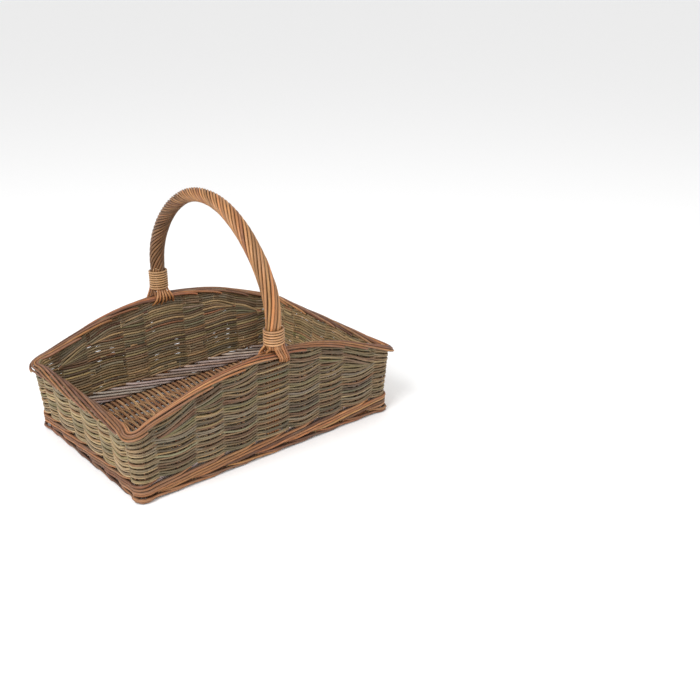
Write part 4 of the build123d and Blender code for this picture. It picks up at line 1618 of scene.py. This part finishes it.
@dataclass
class Studio:
    """The floor, the light and the camera."""

    floor_size: float = 60.0
    floor_colour: tuple[float, float, float, float] = (0.98, 0.98, 0.98, 1)
    floor_roughness: float = 0.9
    sky_strength: float = 0.85
    aim: tuple[float, float, float] = (0.0, 0.0, 0.12)
    camera_place: tuple[float, float, float] = (-0.784, -1.275, 0.766)
    camera_pitch: float = 66.56
    camera_yaw: float = -40.16
    lens: float = 50.39
    sensor: float = 36.0

    def floor(self) -> None:
        """Lay a plain pale floor."""
        shape = bmesh.new()
        bmesh.ops.create_grid(shape, x_segments=1, y_segments=1, size=self.floor_size / 2)
        mesh = bpy.data.meshes.new("floor")
        shape.to_mesh(mesh)
        shape.free()
        paint = bpy.data.materials.new("pale_floor")
        paint.use_nodes = True
        shader = paint.node_tree.nodes["Principled BSDF"]
        shader.inputs["Base Color"].default_value = self.floor_colour
        shader.inputs["Roughness"].default_value = self.floor_roughness
        mesh.materials.append(paint)
        floor = bpy.data.objects.new("floor", mesh)
        bpy.context.scene.collection.objects.link(floor)

    def lights(self) -> None:
        """Hang a large soft light on the left and a weaker one on the right, under an even sky."""
        world = bpy.data.worlds.new("studio")
        world.use_nodes = True
        sky = world.node_tree.nodes["Background"]
        sky.inputs["Color"].default_value = (1, 1, 1, 1)
        sky.inputs["Strength"].default_value = self.sky_strength
        bpy.context.scene.world = world
        self.area("key_light", place=(-1.5, -0.5, 1.7), size=1.2, power=36)
        self.area("fill_light", place=(1.2, -1.6, 1.3), size=1.6, power=9)

    def area(self, name: str, place: tuple[float, float, float], size: float, power: float) -> None:
        """Hang one square light that points at the basket.

        Args:
            name: The light's name.
            place: Where it hangs, in metres.
            size: Its side, in metres.
            power: Its power, in watts.
        """
        lamp = bpy.data.lights.new(name, "AREA")
        lamp.size = size
        lamp.energy = power
        light = bpy.data.objects.new(name, lamp)
        light.location = place
        aim = np.subtract(self.aim, place)
        flat = math.hypot(aim[0], aim[1])
        light.rotation_euler = (math.atan2(flat, -aim[2]), 0, math.atan2(aim[1], aim[0]) - math.pi / 2)
        bpy.context.scene.collection.objects.link(light)

    def camera(self) -> None:
        """Set the camera at the photograph's angle."""
        lens = bpy.data.cameras.new("camera")
        lens.lens = self.lens
        lens.sensor_width = self.sensor
        camera = bpy.data.objects.new("camera", lens)
        camera.location = self.camera_place
        camera.rotation_euler = (math.radians(self.camera_pitch), 0, math.radians(self.camera_yaw))
        bpy.context.scene.collection.objects.link(camera)
        bpy.context.scene.camera = camera


class Workshop:
    """Makes the basket's pieces, each in the finish of its slot."""

    def __init__(self) -> None:
        """Build the finishes and the store of straight tubes."""
        groups = BarkGroups()
        self.store = TubeStore()
        self.materials = {slot: finish.material(groups) for slot, finish in FINISHES.items()}

    def single(
        self, name: str, slot: str, node: str, *layers: Layer, floor: bool = False, finish: str = ""
    ) -> None:
        """Lay the rods of one piece and make it.

        Args:
            name: The piece's name.
            slot: Its material slot in the frame.
            node: The frame's node that it replaces.
            layers: What lays its rods, in order.
            floor: Whether it lies on the floor.
            finish: The slot whose finish it wears, if not its own.
        """
        piece = RodPiece(name, slot, [node], self.store)
        for layer in layers:
            layer(piece)
        piece.make(self.materials[finish or slot], floor=floor)

    def group(
        self,
        names: Sequence[str],
        endings: tuple[str, str],
        slot: str,
        fill: Callable[[dict[str, RodPiece]], None],
    ) -> None:
        """Lay the rods of several pieces together and make them.

        Args:
            names: Where each piece is.
            endings: What follows that in the piece's name and in its node's name.
            slot: Their material slot in the frame.
            fill: What lays their rods.
        """
        piece_end, node_end = endings
        pieces = {name: RodPiece(name + piece_end, slot, [name + node_end], self.store) for name in names}
        fill(pieces)
        for piece in pieces.values():
            piece.make(self.materials[slot])


def weave_body(shop: Workshop, form: WallForm) -> None:
    """Make the base, the foot and the walls, in order from the foot up."""
    stakes = StakeLine(form)
    base = Base(form, BUFF, CHESTNUT)
    shop.single("base_stick_rods", "base_willow", "base_sticks", base.sticks)
    shop.single("base_weavers", "base_willow", "base_weave", base.weavers)
    foot_outside = Wale(
        form, stakes, BROWN, seed=31, low=8.6, high=2.2, out=5.0, reach=1.9, radius=2.3, start=0.5, point=6.0,
        per_stake=1,
    )
    foot_inside = Wale(
        form, stakes, BROWN, seed=32, low=6.8, high=2.0, out=-4.7, reach=2.3, radius=2.15, start=0.5,
        depth=0.5, per_stake=1,
    )
    outer = Wale(
        form, stakes, RUSSET, seed=33, low=11.2, high=31.2, out=4.7, reach=4.0, radius=2.6, per_stake=1
    )
    inner = Wale(
        form, stakes, MAUVE_GREY, seed=34, low=10.6, high=33.5, out=-4.7, reach=2.2, radius=2.5, depth=0.3
    )
    layers = (foot_outside.lay, foot_inside.lay)
    shop.single("foot_border_rods", "brown_willow", "foot_border", *layers, floor=True)
    shop.single("outer_wale_rods", "brown_willow", "outer_wale", outer.lay)
    shop.single("inner_wale_rods", "grey_willow", "inner_wale", inner.lay)
    uprights = Stakes(form, stakes, CHESTNUT)
    shop.group((*SIDES, "corner"), ("_stake_rods", "_stakes"), "brown_willow", uprights.raise_all)
    siding = Siding(form, stakes, OLIVE, PALE_OLIVE)
    shop.group([panel.value for panel in Panel], ("_weavers", "_siding"), "green_willow", siding.weave)
    shop.group(SIDES, ("_border_rods", "_border"), "border_willow", Border(form, stakes, RUSSET).roll)


def weave_handle(shop: Workshop, form: WallForm) -> None:
    """Make the handle, then what holds each of its feet."""
    handle = Handle(form, GOLDEN, STRAW, RUSSET)
    shop.single("handle_bow_rod", "handle_willow", "handle_bow", handle.bow)
    tips = [functools.partial(handle.tips, side=side) for side in Side]
    shop.single("handle_wrap_rods", "handle_willow", "handle_wrap", handle.wrap, *tips)
    feet = (
        ("_binding_skein", "binding_willow", "_binding", handle.bind, ""),
        ("_leg_rods_in_wall", "handle_willow", "_leg_rods", handle.legs, ""),
        ("_outer_fan_rods", "handle_willow", "_outer_fan", handle.outer_fan, ""),
        ("_inner_fan_rods", "handle_willow", "_inner_fan", handle.inner_fan, "binding_willow"),
    )
    for side in Side:
        name = side.name.lower()
        for piece_end, slot, node_end, layer, finish in feet:
            laid = functools.partial(layer, side=side)
            shop.single(name + piece_end, slot, name + node_end, laid, finish=finish)


def main() -> None:
    """Build the studio and the basket."""
    logging.basicConfig(level=logging.INFO, format="%(name)s %(message)s")
    bpy.context.scene.view_settings.view_transform = "Standard"
    studio = Studio()
    studio.camera()
    studio.floor()
    studio.lights()
    form = WallForm()
    shop = Workshop()
    weave_body(shop, form)
    weave_handle(shop, form)
    shop.store.clear()


if __name__ == "__main__":
    main()
